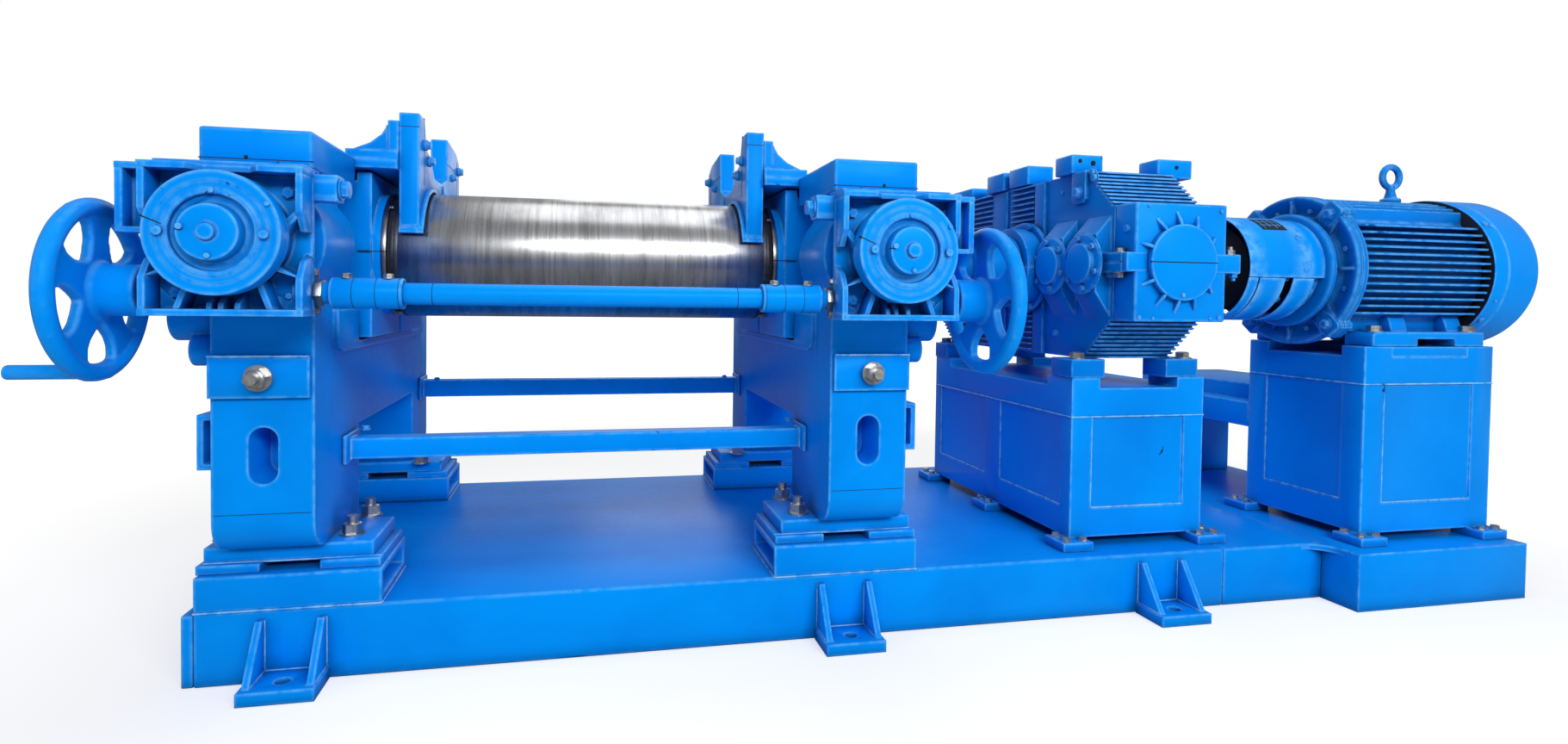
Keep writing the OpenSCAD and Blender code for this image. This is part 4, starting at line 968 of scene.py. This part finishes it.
# screws of bridges, stop blocks, feet, ties and caps
soleSide, soleTop, capLow = soles[1][0] - millX, soles[1][2], cap[0][2]
millScrews = {  # style, finish and rows, X outward from the middle of the rolls
    "bridgeBolts": ("bolt", zincSteel, facing(upward, [
        (guideOut + 110, s * (guideY - 40), bridge[0][2] + 57, 16) for s in (-1, 1)])),
    "stopNuts": ("nut", zincSteel, facing(forward, [(sideMid, stop[0][1], midOf(stop, 2), 30)])),
    "soleNuts": ("nut", zincSteel, facing(upward, [
        (frameIn - 46, s * y, soleTop, 30) for s in (-1, 1) for y in (595, 397)])),
    "soleSideNuts": ("bolt", zincSteel, facing(upward, [(soleSide - 12, y, soleTop, 16) for y in (-600, 600)])),
    "tieBolts": ("bolt", blueEnamel, facing(upward, [
        (frameIn - 66, midOf(tie, 1) - 16, tie[1][2] - 14, 12),
        (frameIn - 34, midOf(rail, 1) + 46, rail[1][2] - 1, 14)])),
    # painted shade: these plugs take the near-black shade finish
    "capScrews": ("plug", shadow, facing(forward, [
        (sideMid + 18, cap[0][1], capLow + 22, 5), (sideMid - 54, cap[0][1], capLow + 8, 5)])),
}
for name, (style, mat, rows) in millScrews.items():
    addScrews(name, style, mat, baseBody, screwsBoth(rows))
# painted shade: near-black strips for the cap seams and the faint groove on the frame's front
capLines = [
    block((frameIn - 12.5, frameOut + 2.5), (cap[0][1] - 0.5, cap[0][1] + 3), (capLow + 16, capLow + 18)),
    block((frameOut - 2, frameOut + 2.5), (cap[0][1] - 0.4, cap[0][1] + 300), (capLow + 16, capLow + 18)),
    block((frameIn + 8, frameOut - 8), (-frameHalf - 0.5, -frameHalf + 3), (463, 464.4))]
built("frameSeams", shadow, baseBody, bothSides(capLines), 0)

# cross-shaft sleeves
shaftBody = bodyOf["shaft_couplings"]
sleeveOut, sleeveR = max(millX - sleeve[0][0], sleeve[1][0] - millX), (sleeve[1][2] - sleeve[0][2]) / 2
addScrews("couplingScrews", "bolt", zincSteel, shaftBody, screwsBoth(facing(upward, [
    (sleeveOut - t, shaftY - 2, shaftZ + sleeveR - 2, 14) for t in (34, 128)])))
# painted shade: near-black hairlines for the joints of the sleeves
hairs = [tube("x", shaftAt, sleeveR - 1, sleeveR + 0.4, sleeveOut - t, sleeveOut - t + 1.2, 48)
    for t in (52, 104, 156)]
hairs += [tube("x", shaftAt, 26, 27.4, sleeveOut - 232, sleeveOut - 230.6, 48)]
built("couplingSeams", shadow, shaftBody, bothSides(hairs), 0)

# pedestals: pad bolts, welds round the panels
padHalf, padTop = 56, deckTop + 30
stands = {  # cut is the right pads' shortening; then how far panels stand in from sides, ends, foot and top
    "stand": {
        "node": "reducer_stand", "cut": 0, "side": 80, "end": 60, "rise": 130, "drop": 136, "pads": (0, 0.5, 1)},
    "motorStand": {
        "node": "motor_stand", "cut": 39, "side": 90, "end": 85, "rise": 136, "drop": 136, "pads": (0, 1)},
}


def padRows(low, high, s):
    rows = []
    for px, sx in ((low[0], -1), (high[0] - s["cut"], 1)):
        for part in s["pads"]:
            py, sy = low[1] + (high[1] - low[1]) * part, (-1, 0, 1)[int(part * 2)]
            if sy == 0:
                spots = [(sx * 29, -34), (sx * 29, 34)]
            elif sx > 0 and s["cut"]:
                spots = [(-33, sy * 29), (35, sy * 29)]
            else:
                spots = [(sx * 29, sy * 29), (sx * 29, -sy * 33), (-sx * 33, sy * 29)]
            rows += [((px + dx, py + dy, padTop), upward, 15) for dx, dy in spots]
    return rows


def panelWelds(low, high, s):  # along the foot and one side of each panel
    x0, x1, y0, y1 = low[0] + s["side"], high[0] - s["side"], low[1], high[1]
    foot, head = deckTop + s["rise"] + 1.5, high[2] - s["drop"]
    lines = [
        [(x0, y0 + 3, head), (x0, y0 + 3, foot), (x1, y0 + 3, foot)],
        [(x1, y1 - 3, head), (x1, y1 - 3, foot), (x0, y1 - 3, foot)]]
    cuts = (y0, y1) if len(s["pads"]) == 2 else (y0, (y0 + y1) / 2, y1)
    for near, far in zip(cuts, cuts[1:]):
        near, far = near + s["end"], far - s["end"]
        lines += [
            [(low[0] + 3, far, head), (low[0] + 3, far, foot), (low[0] + 3, near, foot)],
            [(high[0] - 3, near, head), (high[0] - 3, near, foot), (high[0] - 3, far, foot)]]
    return lines


welds = []
for name, s in stands.items():
    low, high = span(s["node"])
    low = [low[0] + padHalf, low[1] + padHalf]
    high = [high[0] - (17 if s["cut"] else padHalf), high[1] - padHalf, high[2]]
    addScrews(name + "PadBolts", "bolt", zincSteel, baseBody, padRows(low, high, s))
    welds += panelWelds(low, high, s)
    band = high[2] - s["drop"] + 2
    x0, y0 = low[0] - 0.5, low[1] - 0.5
    welds.append([(x0, high[1] - 4, band), (x0, y0, band), (high[0] + 0.5, y0, band)])

# welds: anchor feet, risers, soles, stop blocks, caps and bars
feet = span("anchor_feet")
bedSide, plateTop = risers[1][1], 34
for x in (span("bed_frame")[0][0] + t for t in (235, 1770, 2885)):
    for s in (-1, 1):
        side = s * (bedSide + 1)
        welds.append([(x - 90, side, plateTop), (x + 90, side, plateTop)])
        for webX in (x + dx for dx in (-84, -66, 66, 84)):
            welds.append([(webX, side, deckTop - 26), (webX, side, plateTop + 1)])
            welds.append([(webX, s * (bedSide + 2), plateTop + 1), (webX, s * (feet[1][1] - 24), plateTop + 1)])
riserOut, riserIn = risers[1][0] - millX, risers[1][0] - millX - 456
bothLines = []
for s in (-1, 1):
    near, far, sole = s * (bedSide + 0.5), s * (bedSide - 299), s * soles[1][1]
    bothLines.append([(riserIn, far, deckTop), (riserIn, near, deckTop), (riserOut, near, deckTop)])
    bothLines.append([(riserIn + 8, sole, soles[0][2]), (riserOut - 8, sole, soles[0][2])])
for inner, y, z in ((frameIn + 9, stop[0][1] + 15, stop[1][2]), (frameIn + 4, -frameHalf, capLow)):
    bothLines.append([(inner, y, z), (frameOut, y, z)])
for beam in (tie, rail):
    x, y0, y1, z0, z1 = frameIn - 13, midOf(beam, 1) - 32, midOf(beam, 1) + 32, beam[0][2] + 8, beam[1][2] - 14
    bothLines.append([(x, y0, z0), (x, y0, z1), (x, y1, z1), (x, y1, z0)])
addBeads("welds", weldHighlightEnamel, baseBody, welds + linesBoth(bothLines), 3.0)
standLow, standHigh = span("motor_stand")
packers = [block((standLow[0] + 172, standHigh[0] - 135), (y, y + 88), (standHigh[2] - 38, standHigh[2] - 0.6))
           for y in (motorY - 247.5, motorY + 159.5)]
built("motorPackers", blueEnamel, baseBody, packers, 2.5)
addScrews("motorFootBolts", "bolt", zincSteel, baseBody, facing(upward, [
    (x, motorY + s * 214, motor["footTop"], 26)
    for s in (-1, 1) for x in (motor["feet"] + 41, motor["end"] - 40)]))
print("mill dressed")

# camera, lights and floor

view = {
    "place": (-1.1582, -3.0231, 1.0294),
    "yaw": 12.26, "pitch": 1.43, "roll": 0.70,  # degrees right, down and anticlockwise
    "lens": 18.35,
    "shift": (0.01906, -0.0335),
}


def addCamera(v):
    yaw, pitch, roll = (math.radians(v[k]) for k in ("yaw", "pitch", "roll"))
    ahead = Vector((math.sin(yaw) * math.cos(pitch), math.cos(yaw) * math.cos(pitch), -math.sin(pitch)))
    right = Vector((math.cos(yaw), -math.sin(yaw), 0))
    up = right.cross(ahead)
    side = right * math.cos(roll) + up * math.sin(roll)
    top = up * math.cos(roll) - right * math.sin(roll)
    turn = Matrix((side, top, -ahead)).transposed()
    camera = bpy.data.objects.new("camera", bpy.data.cameras.new("camera"))
    camera.matrix_world = Matrix.Translation(v["place"]) @ turn.to_4x4()
    camera.data.lens = v["lens"]
    camera.data.sensor_width = 36
    camera.data.shift_x, camera.data.shift_y = v["shift"]
    camera.data.clip_end = 100
    scene.collection.objects.link(camera)
    scene.camera = camera


studio = {  # lamps: place, aim, size, power
    "key": ((0.9, -8.5, 4.6), (0.0, 0, 0.8), (7.5, 1.8), 620),
    "fill": ((-7.5, -4.0, 3.2), (-0.8, 0, 0.8), (4, 4), 40),
    "top": ((0.0, 0.5, 6.5), (0, 0, 0.8), (5, 5), 150),
    "back": ((1.0, 7.5, 4.5), (0, 0, 1.0), (5, 5), 110),
}
worldLight = {"scattered": 0.2, "mirrored": 0.36}


def addLamp(name, place, aim, size, power):
    lamp = bpy.data.lights.new(name, "AREA")
    lamp.shape, lamp.size, lamp.size_y, lamp.energy = "RECTANGLE", *size, power
    obj = bpy.data.objects.new(name, lamp)
    obj.location = place
    obj.rotation_euler = (Vector(aim) - Vector(place)).to_track_quat("-Z", "Y").to_euler()
    scene.collection.objects.link(obj)


def addWorld(light):  # white in view, softer in reflections and as light
    world = bpy.data.worlds.new("studio")
    world.use_nodes = True
    t = world.node_tree
    paths = addNode(t, "ShaderNodeLightPath")
    seen = addNode(t, "ShaderNodeMath", {"operation": "MAXIMUM"},
        {0: paths.outputs["Is Camera Ray"], 1: paths.outputs["Is Transmission Ray"]})
    mirrored = addNode(t, "ShaderNodeMapRange", {"To Min": light["scattered"], "To Max": light["mirrored"]},
        {"Value": paths.outputs["Is Glossy Ray"]})
    level = addNode(t, "ShaderNodeMath", {"operation": "MAXIMUM"}, {0: seen, 1: mirrored})
    setNode(t, t.nodes["Background"], {"Color": (1, 1, 1, 1)}, {"Strength": level})
    scene.world = world


def addFloor(size, lift):  # the lift brings it up to white in view, more so away from the machine
    mat, t, shader, place = newMaterial("whiteFloor")
    paths = addNode(t, "ShaderNodeLightPath")
    away = addNode(t, "ShaderNodeVectorMath", {"operation": "LENGTH"}, {0: place})
    more = addNode(t, "ShaderNodeMapRange", {"From Min": 3.0, "From Max": 7.0, "To Min": lift, "To Max": 1.0},
        {"Value": away})
    glow = addNode(t, "ShaderNodeMath", {"operation": "MULTIPLY"}, {0: paths.outputs["Is Camera Ray"], 1: more})
    tone = addNode(t, "ShaderNodeMix", {"data_type": "RGBA", 6: (0.6, 0.6, 0.6, 1), 7: (0.24, 0.24, 0.25, 1)},
        {0: paths.outputs["Is Glossy Ray"]})
    setNode(t, shader, {"Roughness": 0.9, "Specular IOR Level": 0.1, "Emission Color": (1, 1, 1, 1)},
        {"Base Color": tone, "Emission Strength": glow})
    mesh = bpy.data.meshes.new("floor")
    corners = [(-size, -size, 0), (size, -size, 0), (size, size, 0), (-size, size, 0)]
    mesh.from_pydata(corners, [], [(0, 1, 2, 3)])
    toObject("floor", mesh, mat)


addCamera(view)
for lampName, values in studio.items():
    addLamp(lampName, *values)
addWorld(worldLight)
addFloor(60, 0.55)
scene.view_settings.view_transform = "Standard"
print("studio set")
